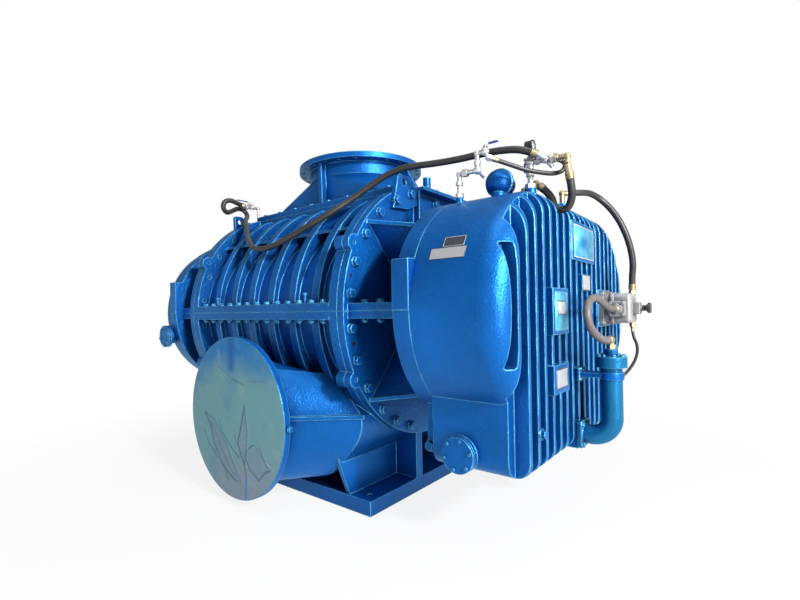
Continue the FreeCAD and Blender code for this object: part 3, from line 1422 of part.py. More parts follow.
def filter_vessel():
    """The oil filter: barrel, lid flange, bottom bend and its face flange."""
    x, y = FILTER
    r = FILTER_R
    bend = FILTER_BEND
    low = FILTER_FOOT + bend
    torus = Part.makeTorus(bend, r, V(x - bend, y, low), Y_AXIS)
    quarter = torus.common(box(x - bend, x + BIG, -BIG, BIG, -BIG, low))
    face = CASE_END + PAD_PROUD
    parts = [rod(r, FILTER_TOP - low, x, y, low, Z_AXIS), quarter]
    if x - bend > face:
        parts.append(rod(r, x - bend - face, face, y, FILTER_FOOT))
    parts.append(rounded(box(face, face + 22, y - 68, y + 68, FILTER_FOOT - 72, FILTER_FOOT + 76), 12, X_AXIS))
    parts.append(rod(FILTER_RIM, 34, x, y, FILTER_TOP - 34, Z_AXIS))
    lid = FILTER_TOP
    parts.append(rod(FILTER_RIM, 26, x, y, lid, Z_AXIS))
    parts.append(rod(34, 40, x, y, lid + 25, Z_AXIS))
    ring = FILTER_RIM - 14
    for k in range(8):
        a = math.radians(45 * k + 22)
        px, py = x + ring * math.cos(a), y + ring * math.sin(a)
        parts.append(hexagon(19, 12, px, py, lid + 26, Z_AXIS))
    for sy in (-52, 52):
        for sz in (-54, 58):
            parts.append(hexagon(24, 14, face + 22, y + sy, FILTER_FOOT + sz, X_AXIS))
    return join(parts)


def filter_bracket():
    """The strap that ties the filter's barrel to the fin tips, with its clamp ears."""
    x, y = FILTER
    z0 = BRACKET_Z
    face = CASE_END + PAD_PROUD
    band = tube(FILTER_R + 8, FILTER_R, 40, x, y, z0, Z_AXIS)
    arm = box(face, x - FILTER_R + 20, y - 45, y + 45, z0 + 6, z0 + 34)
    foot = box(face, face + 12, y - 52, y + 52, z0 - 16, z0 + 56)
    solid = join([band, arm.cut(rod(FILTER_R, 60, x, y, z0 - 10, Z_AXIS)), foot])
    screws = [hexagon(17, 9, face + 12, y + sy, z0 + sz, X_AXIS) for sy in (-38, 38) for sz in (-8, 48)]
    return join([solid] + screws)


def hose_fittings():
    """Brass and plated end fittings that join the hoses to what they serve."""
    x, y = FILTER
    lid = FILTER_TOP + 65
    brass = [V(x, y, lid), V(x, y, HOSE_E[-1].z), HOSE_E[-1]]
    made = [join(elbow_pipe(17, brass) + [nut_between(44, brass[0], brass[0] + V(0, 0, 26))])]
    px, pz = PUMP_PORT
    made.append(bar(18, V(px, PUMP_Y0 - 44, pz), HOSE_E[0]))
    top = V(HOSE_D[-1].x, HOSE_D[-1].y, PUMP_Z1 - 2)
    made.append(join([bar(16, top, HOSE_D[-1]), nut_between(40, top, top + V(0, 0, 20))]))
    low = V(HOSE_F[0].x, HOSE_F[0].y, PUMP_Z0 + 6)
    made.append(join([bar(12, low, HOSE_F[0]), nut_between(32, low, low - V(0, 0, 26))]))
    near = V(x, y + FILTER_R - 6, HOSE_F[-1].z)
    made.append(bar(9, near, HOSE_F[-1]).cut(rod(FILTER_R, 200, x, y, HOSE_F[-1].z - 100, Z_AXIS)))
    port_x, port_y, _, port_top = top_ports()[1]
    foot = V(port_x, port_y, port_top)
    start = tail(HOSE_C[-1], HOSE_C[-2], 28)
    made.append(join([nut_between(44, foot, foot + V(0, 0, 16)),
                      bar(15, foot, foot + V(0, 0, 40)), ball(18, foot + V(0, 0, 40)),
                      bar(15, foot + V(0, 0, 40), start), ball(18, start), bar(16, start, HOSE_C[-1])]))
    port_x, port_y, _, port_top = top_ports()[3]
    foot, start = V(port_x, port_y, port_top), tail(HOSE_D[0], HOSE_D[1], FEED_REACH)
    high = V(port_x, port_y, start.z)
    made.append(join([bar(16, foot, high), ball(20, high), bar(16, start, HOSE_D[0])]))
    return made


def plain_plugs():
    """Screwed plugs in the plate, the case and its crown."""
    shank = rod(20, 38, GEAR_PLATE_X + 62, -SUMP_Y + 42, 516, Y_AXIS)
    made = [shank.fuse(hexagon(46, 25, GEAR_PLATE_X + 62, -SUMP_Y + 42, 516, Y_AXIS * -1))]
    made.append(hexagon(34, 18, CASE_END + 7, *CASE_PLUG, X_AXIS))
    for index in (2, 4):
        x, y, r, top = top_ports()[index]
        made.append(hexagon(r * 1.3, 18, x, y, top, Z_AXIS))
    rail_x, rail_z = COVER_X + RAIL_DEEP * 0.6, SHAFT_HEIGHT + RAIL_Z
    made.append(rod(26, 74, rail_x, STUB_Y, rail_z, Z_AXIS))
    for k in range(4):
        made.append(hexagon(30, 14, rail_x, STUB_Y + 110 + 150 * k, rail_z, Z_AXIS))
    return [m.removeSplitter() for m in made]


def case_plates():
    """Blank rating plates, screwed to the pads on the case and to its round flank."""
    x = CASE_END + PAD_PROUD
    made = []
    for y0, y1, z0, z1 in plate_places():
        made.append(box(x, x + PLATE_SHEET, y0, y1, z0, z1))
    for x0, x1, z0, z1, sheet in flank_places():
        skin = tube_piece(CASE_R + sheet, CASE_R)
        made.append(skin.common(box(x0, x1, -BIG, 0, z0, z1)))
    return made


def plate_places():
    return [(-185, 210, 1505, 1695), (-520, -318, 1098, 1304), (-512, -338, 800, 904), (-25, 122, 1321, 1411)]


def flank_places():
    return [(1428, 1540, 1512, 1560, 1.6), (1367, 1555, 1454, 1509, 1.6)]


def tube_piece(r_out, r_in):
    outer = rod(r_out, CASE_DEPTH, CASE_X, -CASE_Y, SHAFT_HEIGHT)
    return outer.cut(rod(r_in, CASE_DEPTH + 2, CASE_X - 1, -CASE_Y, SHAFT_HEIGHT))


# Hoses

def hose(points, r):
    """A round hose of straight runs joined by tangent arcs."""
    corners = []
    runs = [(b - a).Length for a, b in zip(points, points[1:])]
    for i in range(1, len(points) - 1):
        a = (points[i - 1] - points[i]).normalize()
        b = (points[i + 1] - points[i]).normalize()
        turn = math.pi - a.getAngle(b)
        cut = HOSE_CUT * min(runs[i - 1], runs[i])
        bisect = (a + b).normalize()
        radius = cut / math.tan(turn / 2)
        middle = points[i] + bisect * (radius / math.cos(turn / 2) - radius)
        corners.append((points[i] + a * cut, middle, points[i] + b * cut, radius))
    edges = []
    last = points[0]
    for start, middle, end, radius in corners:
        edges.append(Part.LineSegment(last, start).toShape())
        edges.append(Part.Arc(start, middle, end).toShape())
        last = end
    edges.append(Part.LineSegment(last, points[-1]).toShape())
    path = Part.Wire(edges)
    section = Part.Wire(Part.makeCircle(r, points[0], points[1] - points[0]))
    solid = path.makePipeShell([section], True, False)
    ratio = solid.Volume / (math.pi * r * r * path.Length)
    tight = min(c[3] for c in corners)
    print("hose r %.0f: length %.0f, tightest bend %.0f, volume ratio %.4f" % (r, path.Length, tight, ratio))
    return solid


# Everything, node by node

def nodes():
    gear_cover = end_cover(GEAR_NECK)
    drive_cover = mirror_x(end_cover(DRIVE_NECK))
    return {
        "base_frame": base_frame(),
        "casing_lower": casing_lower(),
        "casing_upper": casing_upper(),
        "split_line_bolts": casing_split_bolts() + casing_jack_screws() + cover_split_bolts() + cover_dowels(),
        "inlet_hood": inlet_hood(),
        "inlet_hood_bolts": inlet_hood_bolts(),
        "outlet_duct": outlet_duct(),
        "outlet_cover_film": outlet_cover_film(),
        "gear_cover_lower": lower(gear_cover),
        "gear_cover_upper": upper(gear_cover),
        "drive_cover_lower": lower(drive_cover),
        "drive_cover_upper": upper(drive_cover),
        "end_cover_bolts": end_cover_bolts(),
        "lifting_lugs": lifting_lugs(),
        "gear_plate": gear_plate(),
        "gear_case": gear_case(),
        "case_bolts": case_bolts(),
        "drive_plate": drive_plate(),
        "drive_housing": drive_housing(),
        "bolted_covers": [shaft_exit_cover(), blank_cover()] + port_covers(),
        "cover_screws": exit_cover_screws() + port_cover_screws(),
        "drive_lip_seal": drive_lip_seal(),
        "shaft_seals": shaft_seals(),
        "drive_rotor": rotor(AXES[0]),
        "driven_rotor": rotor(AXES[1]),
        "drive_shaft": shaft(AXES[0], True),
        "driven_shaft": shaft(AXES[1], False),
        "drive_timing_gear": involute_gear(AXES[0], 0.0),
        "driven_timing_gear": involute_gear(AXES[1], math.pi / GEAR_TEETH),
        "drive_gear_nut": lock_nut(AXES[0]),
        "driven_gear_nut": lock_nut(AXES[1]),
        "drive_oil_slinger": slinger(AXES[0]),
        "driven_oil_slinger": slinger(AXES[1]),
        "bearing_outer_races": outer_rings() + bearing_rollers(),
        "drive_inner_rings": inner_rings(AXES[0]),
        "driven_inner_rings": inner_rings(AXES[1]),
        "plain_plugs": plain_plugs(),
        "case_plates": case_plates(),
        "breather": breather(),
        "pipe_riser": pipe_riser(),
        "riser_valve_lever": riser_valve_lever(),
        "manifold": manifold(),
        "manifold_valve_lever": manifold_valve_lever(),
        "gauge_body": gauge_body(),
        "gauge_needle": gauge_needle(),
        "gauge_glass": gauge_glass(),
        "lug_valve_body": lug_valve_body(),
        "lug_valve_lever": lug_valve_lever(),
        "oil_pump": oil_pump(),
        "pump_adjuster": pump_adjuster(),
        "filter_vessel": filter_vessel(),
        "filter_bracket": filter_bracket(),
        "hose_fittings": hose_fittings(),
        "long_oil_hose": hose(HOSE_A, 20),
        "riser_hose": hose(HOSE_B, 12),
        "crown_hose": hose(HOSE_C, 20),
        "pump_feed_hose": hose(HOSE_D, 20),
        "pump_filter_hose": hose(HOSE_E, 20),
        "pump_drain_hose": hose(HOSE_F, 9),
    }


def write(name, made):
    solids = []
    for shape in (made if isinstance(made, list) else [made]):
        solids += shape.Solids
    shape = solids[0] if len(solids) == 1 else Part.makeCompound(solids)
    shape.exportStep("parts/" + name + ".step")
    bad = [s for s in solids if not s.isValid() or s.Volume <= 0]
    b = shape.BoundBox
    print("%-22s %3d solids%s  x %6.0f..%-6.0f y %6.0f..%-6.0f z %6.0f..%-6.0f"
          % (name, len(solids), " BAD" if bad else "", b.XMin, b.XMax, b.YMin, b.YMax, b.ZMin, b.ZMax))


os.makedirs("parts", exist_ok=True)
for node_name, node_shape in nodes().items():
    write(node_name, node_shape)
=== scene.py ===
"""Dresses a roots blower: its hoses, outlet film, gauge face, levers, bolts, plates and paint.

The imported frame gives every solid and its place. Everything here is in metres in that frame:
origin on the floor under the casing, +X towards the gear end, -Y towards the outlet, +Z up.
"""

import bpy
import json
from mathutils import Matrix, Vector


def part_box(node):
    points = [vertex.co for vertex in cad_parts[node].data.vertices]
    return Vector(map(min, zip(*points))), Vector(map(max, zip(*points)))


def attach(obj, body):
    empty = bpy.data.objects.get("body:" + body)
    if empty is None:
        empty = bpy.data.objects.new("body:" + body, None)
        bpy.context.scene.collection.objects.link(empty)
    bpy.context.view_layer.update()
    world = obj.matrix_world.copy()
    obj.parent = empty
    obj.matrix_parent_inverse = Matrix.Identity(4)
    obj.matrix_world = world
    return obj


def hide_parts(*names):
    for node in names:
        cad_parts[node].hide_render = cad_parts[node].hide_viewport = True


bl_info = {
    "name": "Roots blower dress",
    "version": (1, 0, 0),
    "blender": (4, 5, 0),
    "location": "View3D > Sidebar > Blower",
    "description": "Paints a roots blower and adds its hoses, film, gauge face, bolts and plates",
    "category": "Object",
}

import bpy
import bmesh
import json
import math
from bpy.props import FloatProperty, FloatVectorProperty, PointerProperty
from mathutils import Matrix, Vector

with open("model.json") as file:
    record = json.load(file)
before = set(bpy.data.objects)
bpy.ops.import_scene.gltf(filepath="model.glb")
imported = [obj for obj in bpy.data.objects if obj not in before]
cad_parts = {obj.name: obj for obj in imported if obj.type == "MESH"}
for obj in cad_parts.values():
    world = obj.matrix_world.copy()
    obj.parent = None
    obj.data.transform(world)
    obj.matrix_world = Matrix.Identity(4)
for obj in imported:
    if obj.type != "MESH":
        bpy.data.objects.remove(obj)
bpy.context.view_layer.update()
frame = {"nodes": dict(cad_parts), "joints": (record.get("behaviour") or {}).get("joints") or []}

X_AXIS, Y_AXIS, Z_AXIS = Vector((1, 0, 0)), Vector((0, 1, 0)), Vector((0, 0, 1))

# Places that the bolts and plates follow, as the solids have them
SHAFT_Z = 1.220
CASING_HALF = 0.775
COVER_X = 0.825
END_Y = 0.260
END_R = 0.820
BOLT_R = 0.772
BOLT_TURNS = (7.2, 21.0, 35.0, 49.5, 61.5, 73.5)
BOLT_LOW = 0.735
RAIL_Y = 0.405
LUG_THICK = 0.030
LUG_LOW = 0.660
RIB_PITCH = 0.2135
SPLIT_Y = 1.050
SPLIT_HALF = 0.049
LEDGE_Y = 0.990
LEDGE_HALF = 0.042
CASE_END = 1.768
PAD_TOP = 2.036
CASE_R = 0.606
CASE_Y = 0.494
GEAR_NECK = 0.355
DRIVE_NECK = 0.185
EAR_DROP = 0.386
SPLIT_BOLTS = 13
LOW_BOLT_Y = END_Y * 0.55
HOOD_BOLT_X = 0.672
HOOD_BOLT_Y = 0.470

# Bolt heads and nuts as (across flats, height), then their washers, shanks, studs and pins
COVER_HEAD = (0.0468, 0.0225)
SPLIT_HEAD = (0.0364, 0.0150)
SPLIT_NUT = (0.0364, 0.0165)
STUD_HEAD = (0.024, 0.012)
HOOD_HEAD = (0.036, 0.015)
SEAM_HEAD = (0.030, 0.012)
WASHER_THICK = 0.004
COVER_SHANK_R = 0.0148
COVER_GRIP = 0.109
SPLIT_TAIL_R = 0.012
SPLIT_TAIL = 0.024
STUD_R = 0.007
STUD_HIGH = 0.050
STUD_RIB = 2.25
EAR_PIN_R = 0.0115
EAR_PIN = 0.107
EAR_PIN_BACK = 0.060

# Blank plates: on the pads as (y0, y1, z0, z1), on the round flank as (x0, x1, z0, z1)
PLATES = ((-0.185, 0.210, 1.505, 1.695), (-0.520, -0.318, 1.098, 1.304),
          (-0.512, -0.338, 0.800, 0.904), (-0.025, 0.122, 1.321, 1.411))
LABEL = (-0.474, -0.350, 1.182, 1.256)
FLANK_BLACK = (1.428, 1.540, 1.512, 1.560)
FLANK_BARE = (1.367, 1.555, 1.454, 1.509)
PLATE_THICK = 0.002
LABEL_THICK = 0.0006
SKIN_THICK = 0.0014
BORDER_RISE = 0.0008
FLANK_BORDER = 0.0018
PIN_INSET = 0.014

# The gauge's face, measured from its glass's back and out from its middle
DIAL_BACK = 0.0058
DIAL_R = 0.0278
DIAL_THICK = 0.0006
INK_RISE = 0.0008
TICK_R = 0.0262
NUMBER_R = 0.0178
TICKS = 50
NUMBERS = 5

# Each lever's node, body, direction, side, where its sleeve starts and how wide the lever is
LEVERS = (
    ("riser_valve_lever", "riser_lever", X_AXIS, Y_AXIS, 0.024, 0.018),
    ("manifold_valve_lever", "manifold_lever", -Z_AXIS, Y_AXIS, 0.022, 0.016),
    ("lug_valve_lever", "lug_lever", -Y_AXIS, X_AXIS, 0.048, 0.018),
)
# The form of a lever's sleeve: how far along it, as a share, and how full it is there
SLEEVE_FORM = ((0.0, 0.0), (0.0, 0.86), (0.03, 1.0), (0.45, 0.96), (0.9, 1.0), (0.97, 0.86), (1.0, 0.5),
               (1.0, 0.0))

# Hose routes, as the solids have them
LONG_HOSE = [
    (1.670, -0.459, 2.036), (1.612, -0.486, 2.070), (1.500, -0.494, 2.092), (1.370, -0.500, 2.098),
    (1.230, -0.510, 2.096), (1.074, -0.538, 2.098), (0.906, -0.571, 2.108), (0.778, -0.592, 2.090),
    (0.662, -0.628, 2.032), (0.555, -0.700, 1.945), (0.462, -0.800, 1.856), (0.365, -0.868, 1.792),
    (0.262, -0.905, 1.742), (0.141, -0.948, 1.684), (0.010, -0.968, 1.652), (-0.120, -0.964, 1.657),
    (-0.240, -0.930, 1.702), (-0.350, -0.872, 1.768), (-0.465, -0.800, 1.842), (-0.570, -0.735, 1.905),
    (-0.672, -0.680, 1.960), (-0.756, -0.622, 2.000), (-0.828, -0.556, 2.037), (-0.870, -0.524, 2.074),
    (-0.890, -0.550, 2.120), (-0.893, -0.612, 2.120), (-0.886, -0.668, 2.087), (-0.876, -0.723, 2.061),
    (-0.867, -0.766, 2.097), (-0.855, -0.755, 2.153), (-0.846, -0.700, 2.170), (-0.841, -0.638, 2.150),
    (-0.840, -0.576, 2.136)]
RISER_HOSE = [
    (1.500, -0.630, 2.008), (1.556, -0.578, 1.984), (1.622, -0.500, 1.954), (1.690, -0.440, 1.938),
    (1.744, -0.402, 1.930), (1.784, -0.372, 1.948), (1.790, -0.368, 1.994), (1.746, -0.382, 2.014)]
CROWN_HOSE = [
    (1.823, -0.425, 1.915), (1.828, -0.410, 1.856), (1.826, -0.384, 1.794), (1.794, -0.368, 1.736),
    (1.728, -0.368, 1.748), (1.710, -0.368, 1.834), (1.648, -0.366, 1.890)]
FEED_HOSE = [
    (1.636, 0.201, 1.960), (1.690, 0.262, 1.966), (1.722, 0.356, 1.974), (1.768, 0.424, 1.938),
    (1.830, 0.452, 1.860), (1.885, 0.464, 1.755), (1.925, 0.484, 1.622), (1.938, 0.505, 1.500),
    (1.925, 0.520, 1.408), (1.925, 0.520, 1.332)]
FILTER_HOSE = [
    (1.872, 0.278, 1.206), (1.872, 0.180, 1.206), (1.872, 0.080, 1.222), (1.880, -0.060, 1.246),
    (1.890, -0.190, 1.268), (1.895, -0.320, 1.270), (1.900, -0.425, 1.240), (1.905, -0.462, 1.175),
    (1.915, -0.440, 1.110), (1.932, -0.350, 1.062), (1.936, -0.260, 1.040), (1.936, -0.165, 1.040)]
DRAIN_HOSE = [
    (1.926, 0.500, 1.074), (1.926, 0.500, 1.030), (1.955, 0.485, 0.970), (1.962, 0.440, 0.915),
    (1.958, 0.350, 0.866), (1.946, 0.250, 0.828), (1.936, 0.140, 0.806), (1.936, 0.040, 0.800),
    (1.936, -0.040, 0.800)]
HOSES = {
    "long_oil_hose": (LONG_HOSE, 0.040, 3.517),
    "riser_hose": (RISER_HOSE, 0.024, 0.484),
    "crown_hose": (CROWN_HOSE, 0.040, 0.416),
    "pump_feed_hose": (FEED_HOSE, 0.040, 0.921),
    "pump_filter_hose": (FILTER_HOSE, 0.040, 1.136),
    "pump_drain_hose": (DRAIN_HOSE, 0.018, 0.683),
}

# Creases of the film, each as its half width and its points (x, z)
FILM_CREASES = (
    (0.0075, (-0.335, 0.554), (-0.256, 0.459), (-0.227, 0.363), (-0.157, 0.277), (-0.080, 0.212),
     (0.015, 0.169)),
    (0.0065, (-0.335, 0.554), (-0.213, 0.521), (-0.150, 0.450), (-0.070, 0.370), (0.000, 0.270),
     (0.075, 0.170)),
    (0.0060, (-0.166, 0.518), (-0.123, 0.446), (-0.060, 0.395), (0.010, 0.350), (0.060, 0.320)),
    (0.0045, (-0.262, 0.500), (-0.190, 0.420), (-0.130, 0.330), (-0.060, 0.260), (0.000, 0.200)),
    (0.0070, (0.126, 0.643), (0.087, 0.521), (0.048, 0.409), (0.083, 0.334), (0.118, 0.290), (0.132, 0.220)),
    (0.0070, (0.126, 0.643), (0.149, 0.490), (0.143, 0.387), (0.118, 0.290)),
    (0.0060, (-0.353, 0.435), (-0.301, 0.362), (-0.218, 0.299), (-0.109, 0.222), (-0.060, 0.160)),
    (0.0050, (0.012, 0.447), (0.039, 0.409), (0.083, 0.355)),
    (0.0055, (0.119, 0.341), (0.179, 0.262), (0.263, 0.222), (0.330, 0.283), (0.378, 0.303)),
    (0.0045, (0.267, 0.429), (0.299, 0.366), (0.347, 0.316)),
    (0.0040, (0.164, 0.396), (0.217, 0.425), (0.290, 0.392), (0.332, 0.345)),
    (0.0032, (-0.180, 0.880), (0.000, 0.800), (0.120, 0.775)),
    (0.0032, (0.160, 0.800), (0.330, 0.815)),
)
# Outlines of the film's folds (x, z)
FILM_LEAVES = (
    ((-0.335, 0.554), (-0.256, 0.459), (-0.227, 0.363), (-0.157, 0.277), (-0.080, 0.212), (0.015, 0.169),
     (0.075, 0.170), (0.000, 0.270), (-0.070, 0.370), (-0.150, 0.450), (-0.213, 0.521)),
    ((0.126, 0.643), (0.149, 0.490), (0.143, 0.387), (0.118, 0.290), (0.083, 0.334), (0.048, 0.409),
     (0.087, 0.521)),
    ((0.119, 0.341), (0.179, 0.262), (0.263, 0.222), (0.378, 0.303), (0.332, 0.345), (0.290, 0.392),
     (0.217, 0.425), (0.164, 0.396)),
)
FILM_RINGS = 96
FILM_SPOKES = 288
FILM_SKIN = 0.0007
# The film's slit and its dark smear, each from one point to another (x, z), with their widths and depths.
# The slit's depths are measured out from the flange's face.
SLIT = ((0.126, 0.080), (0.139, 0.217))
SLIT_HALF = 0.0045
SLIT_BACK = 0.0004
SLIT_FRONT = 0.0029
SLIT_TIP = 0.0016
SMEAR = ((-0.019, 1.030), (-0.022, 0.880))
SMEAR_REACH = 0.06

# Small details that the photo shows: dark discs of painted shade in the end cover's two tapped holes (y, z),
# a nut on the outlet's seam
HOLE_SHADE_DISCS = ((-1.015, 1.416), (-1.002, 1.035))
HOLE_SHADE_R = 0.013
HOLE_SHADE_RISE = 0.0008
SEAM_NUT = (0.521, -1.214, 0.559)

# Tint of the enamel's reflections
GLINT = (0.35, 0.90, 1.0)

# The camera, solved from the photo's straight edges: its place, its turns in degrees and its frame's shift
CAMERA_AT = (2.5546, -2.8519, 1.2209)
CAMERA_YAW = 39.56
CAMERA_PITCH = 0.55
CAMERA_ROLL = -0.92
CAMERA_SHIFT = (0.0239, 0.0073)

# Each lamp's place, the point it faces, and its width and height
LAMPS = {
    "key": ((7.8, -2.4, 4.6), (0.8, -0.7, 1.3), (0.6, 0.6)),
    "top": ((2.1, -1.2, 6.4), (0.5, -0.2, 1.0), (3.2, 3.2)),
    "side": ((7.1, -2.9, 2.4), (1.2, -0.5, 1.2), (0.5, 4.2)),
}

# The floor: half its size, how bright the camera sees it near by, and where it fades to white
FLOOR_HALF = 40.0
FLOOR_GLOW = 0.86
FADE_FROM = 1.7
FADE_OVER = 1.8
# What mirrors see of the surroundings: level with them, how much less straight up, and how soon
SHINE_LEVEL = 0.80
SHINE_DROP = 0.5
SHINE_RISE = 1.7


# Shader maths

class Signal:
    """A shader socket that Python's operators turn into Math nodes."""

    def __init__(self, tree, socket):
        self.tree = tree
        self.socket = socket

    def math(self, operation, *terms, clamp=False):
        node = self.tree.nodes.new("ShaderNodeMath")
        node.operation = operation
        node.use_clamp = clamp
        for slot, term in zip(node.inputs, terms):
            if isinstance(term, Signal):
                self.tree.links.new(term.socket, slot)
            else:
                slot.default_value = term
        return Signal(self.tree, node.outputs[0])

    def __add__(self, other):
        return self.math("ADD", self, other)

    def __sub__(self, other):
        return self.math("SUBTRACT", self, other)

    def __rsub__(self, other):
        return self.math("SUBTRACT", other, self)

    def __mul__(self, other):
        return self.math("MULTIPLY", self, other)

    def __truediv__(self, other):
        return self.math("DIVIDE", self, other)

    __radd__ = __add__
    __rmul__ = __mul__

    def clipped(self):
        return self.math("ADD", self, 0.0, clamp=True)

    def step(self, edge, width):
        """0 below `edge`, rising to 1 over `width`."""
        return self.math("DIVIDE", self - edge, width, clamp=True)


class Nodes:
    """The node tree of a material or of the world, filled through one method."""

    def __init__(self, owner):
        owner.use_nodes = True
        self.tree = owner.node_tree
        self.tree.nodes.clear()

    def node(self, kind, settings=None, sockets=None, out=0):
        made = self.tree.nodes.new(kind)
        for key, value in (settings or {}).items():
            setattr(made, key, value)
        for key, value in (sockets or {}).items():
            if isinstance(value, Signal):
                self.tree.links.new(value.socket, made.inputs[key])
            elif made.inputs[key].type == "RGBA":
                made.inputs[key].default_value = (*value, 1.0)
            else:
                made.inputs[key].default_value = value
        return Signal(self.tree, made.outputs[out]) if made.outputs else None


class Finish(Nodes):
    """One material, made node by node."""

    def __init__(self, name):
        self.material = bpy.data.materials.new(name)
        super().__init__(self.material)

    def place(self):
        return self.node("ShaderNodeTexCoord", out="Object")

    def axis(self, name):
        return self.node("ShaderNodeSeparateXYZ", sockets={"Vector": self.place()}, out=name)

    def cloud(self, scale, detail=2.0, rough=0.5):
        return self.node("ShaderNodeTexNoise", sockets={
            "Vector": self.place(), "Scale": scale, "Detail": detail, "Roughness": rough})

    def mix(self, factor, low, high):
        return self.node("ShaderNodeMix", {"data_type": "RGBA"}, {0: factor, 6: low, 7: high}, out=2)

    def edges(self, radius):
        """1 along sharp outside and inside corners, 0 on flats, with the rounded normal."""
        soft = self.node("ShaderNodeBevel", {"samples": 4}, {"Radius": radius})
        flat = self.node("ShaderNodeNewGeometry", out="Normal")
        dot = self.node("ShaderNodeVectorMath", {"operation": "DOT_PRODUCT"}, {0: soft, 1: flat}, out="Value")
        return soft, ((1.0 - dot) * 9.0).clipped()

    def hollows(self, reach):
        """0 in the open, towards 1 in deep corners."""
        return 1.0 - self.node("ShaderNodeAmbientOcclusion", {"samples": 4}, {"Distance": reach}, out="AO")

    def bump(self, height, distance, normal=None, strength=1.0):
        sockets = {"Height": height, "Distance": distance, "Strength": strength}
        if normal:
            sockets["Normal"] = normal
        return self.node("ShaderNodeBump", sockets=sockets)

    def surface(self, **sockets):
        names = {key.replace("_", " "): value for key, value in sockets.items()}
        shader = self.node("ShaderNodeBsdfPrincipled", sockets=names)
        self.node("ShaderNodeOutputMaterial", sockets={"Surface": shader})
        return self.material


# Finishes

def shade(colour, factor):
    return [min(1.0, c * factor) for c in colour]


def enamel(name, colour, deep, pale, cast=0.0, gloss=0.24):
    """Glossy brushed enamel with painted shade in hollows, painted highlights along edges, painted sparkle on
    cast surfaces, and orange peel over casting grain.
    """
    f = Finish(name)
    rounded, edge = f.edges(0.009)
    hollow = f.hollows(0.2)
    patch = f.cloud(2.6, 4.0, 0.6)
    streak = f.cloud(13.0, 4.0, 0.65)
    tone = f.mix(((patch - 0.34) * 1.6).clipped(), shade(colour, 0.72), shade(colour, 1.3))
    # Painted shade: the enamel darkens towards its deep colour in hollows.
    shaded = f.mix((hollow * 1.6 - 0.1).clipped(), tone, deep)
    # Painted sparkle: pale specks on cast surfaces, as many as cast asks for.
    sparkle_noise = f.cloud(58.0, 4.0, 0.7)
    painted_sparkle = f.mix(((sparkle_noise - 0.57) * 5.0).clipped() * (0.4 * cast), shaded, pale)
    # Painted highlight: pale enamel along edges, broken up by streaks.
    edge_wear_and_highlight = f.mix((edge * (streak * 1.9 - 0.4).clipped()).clipped(), painted_sparkle, pale)
    wave = f.cloud(7.0, 2.0, 0.5)
    peel = f.cloud(95.0, 3.0, 0.6)
    grain = f.cloud(34.0, 5.0, 0.66)
    swell = f.bump(wave, 0.010, rounded, 0.35)
    bumpy = f.bump(grain, 0.009, swell, cast) if cast else swell
    skin = f.bump(peel, 0.0028, bumpy, 0.8)
    return f.surface(
        Base_Color=edge_wear_and_highlight, Metallic=0.45, Roughness=gloss + 0.16 * streak, Normal=skin,
        Specular_IOR_Level=0.5, Specular_Tint=GLINT)


def steel(name, colour, rough, metallic=1.0, brushed=0.0, tarnish=(0.25, 0.2, 0.15)):
    """Bare, ground or plated metal with handling marks and tarnish in its corners."""
    f = Finish(name)
    rounded, edge = f.edges(0.0025)
    hollow = f.hollows(0.03)
    smear = f.cloud(34.0, 5.0, 0.65)
    base = f.mix((smear - 0.3) * 1.2, colour, shade(colour, 0.78))
    darkened = f.mix((hollow * 0.9).clipped(), base, tarnish)
    bright = f.mix(edge * 0.4, darkened, shade(colour, 1.25))
    fine = f.cloud(700.0, 2.0)
    skin = f.bump(fine, 0.0003, rounded, 0.35 + brushed)
    return f.surface(
        Base_Color=bright, Metallic=metallic, Roughness=rough + 0.22 * smear, Normal=skin)


def pipe_metal(name, colour, brass, rough, from_x):
    """Zinc-plated pipework whose last elbow, beyond one X, is brass."""
    f = Finish(name)
    rounded, edge = f.edges(0.0025)
    smear = f.cloud(40.0, 5.0, 0.65)
    hollow = f.hollows(0.04)
    metal = f.mix(f.axis("X").step(from_x, 0.002), colour, brass)
    # Dark smears, and painted shade in corners and recesses.
    darkened = f.mix((hollow * 1.3 + (smear - 0.5) * 1.4).clipped(), metal, (0.10, 0.09, 0.085))
    bright = f.mix(edge * 0.5, darkened, (0.9, 0.9, 0.88))
    skin = f.bump(f.cloud(260.0, 3.0), 0.0004, rounded, 0.5)
    return f.surface(Base_Color=bright, Metallic=0.85, Roughness=rough + 0.25 * smear, Normal=skin)


def hose_rubber(name, colour, dust_and_sheen):
    """Cloth-wrapped hose cover: fine wrap marks, upward faces lightened by a dusting and by painted sheen,
    and a dull sheen.
    """
    f = Finish(name)
    up = f.node("ShaderNodeSeparateXYZ", sockets={
        "Vector": f.node("ShaderNodeNewGeometry", out="Normal")}, out="Z")
    wrap = f.cloud(240.0, 3.0, 0.6)
    dusty = f.cloud(16.0, 4.0, 0.6)
    base = f.mix(((dusty - 0.3) * 1.1).clipped(), shade(colour, 0.8), shade(colour, 1.3))
    # A dusting and painted sheen on upward faces.
    top_dust_and_sheen = f.mix(((up - 0.35) * 0.6 * dusty).clipped(), base, dust_and_sheen)
    skin = f.bump(wrap, 0.0007, None, 0.5)
    return f.surface(Base_Color=top_dust_and_sheen, Roughness=0.34 + 0.16 * dusty, Normal=skin, Specular_IOR_Level=0.45)


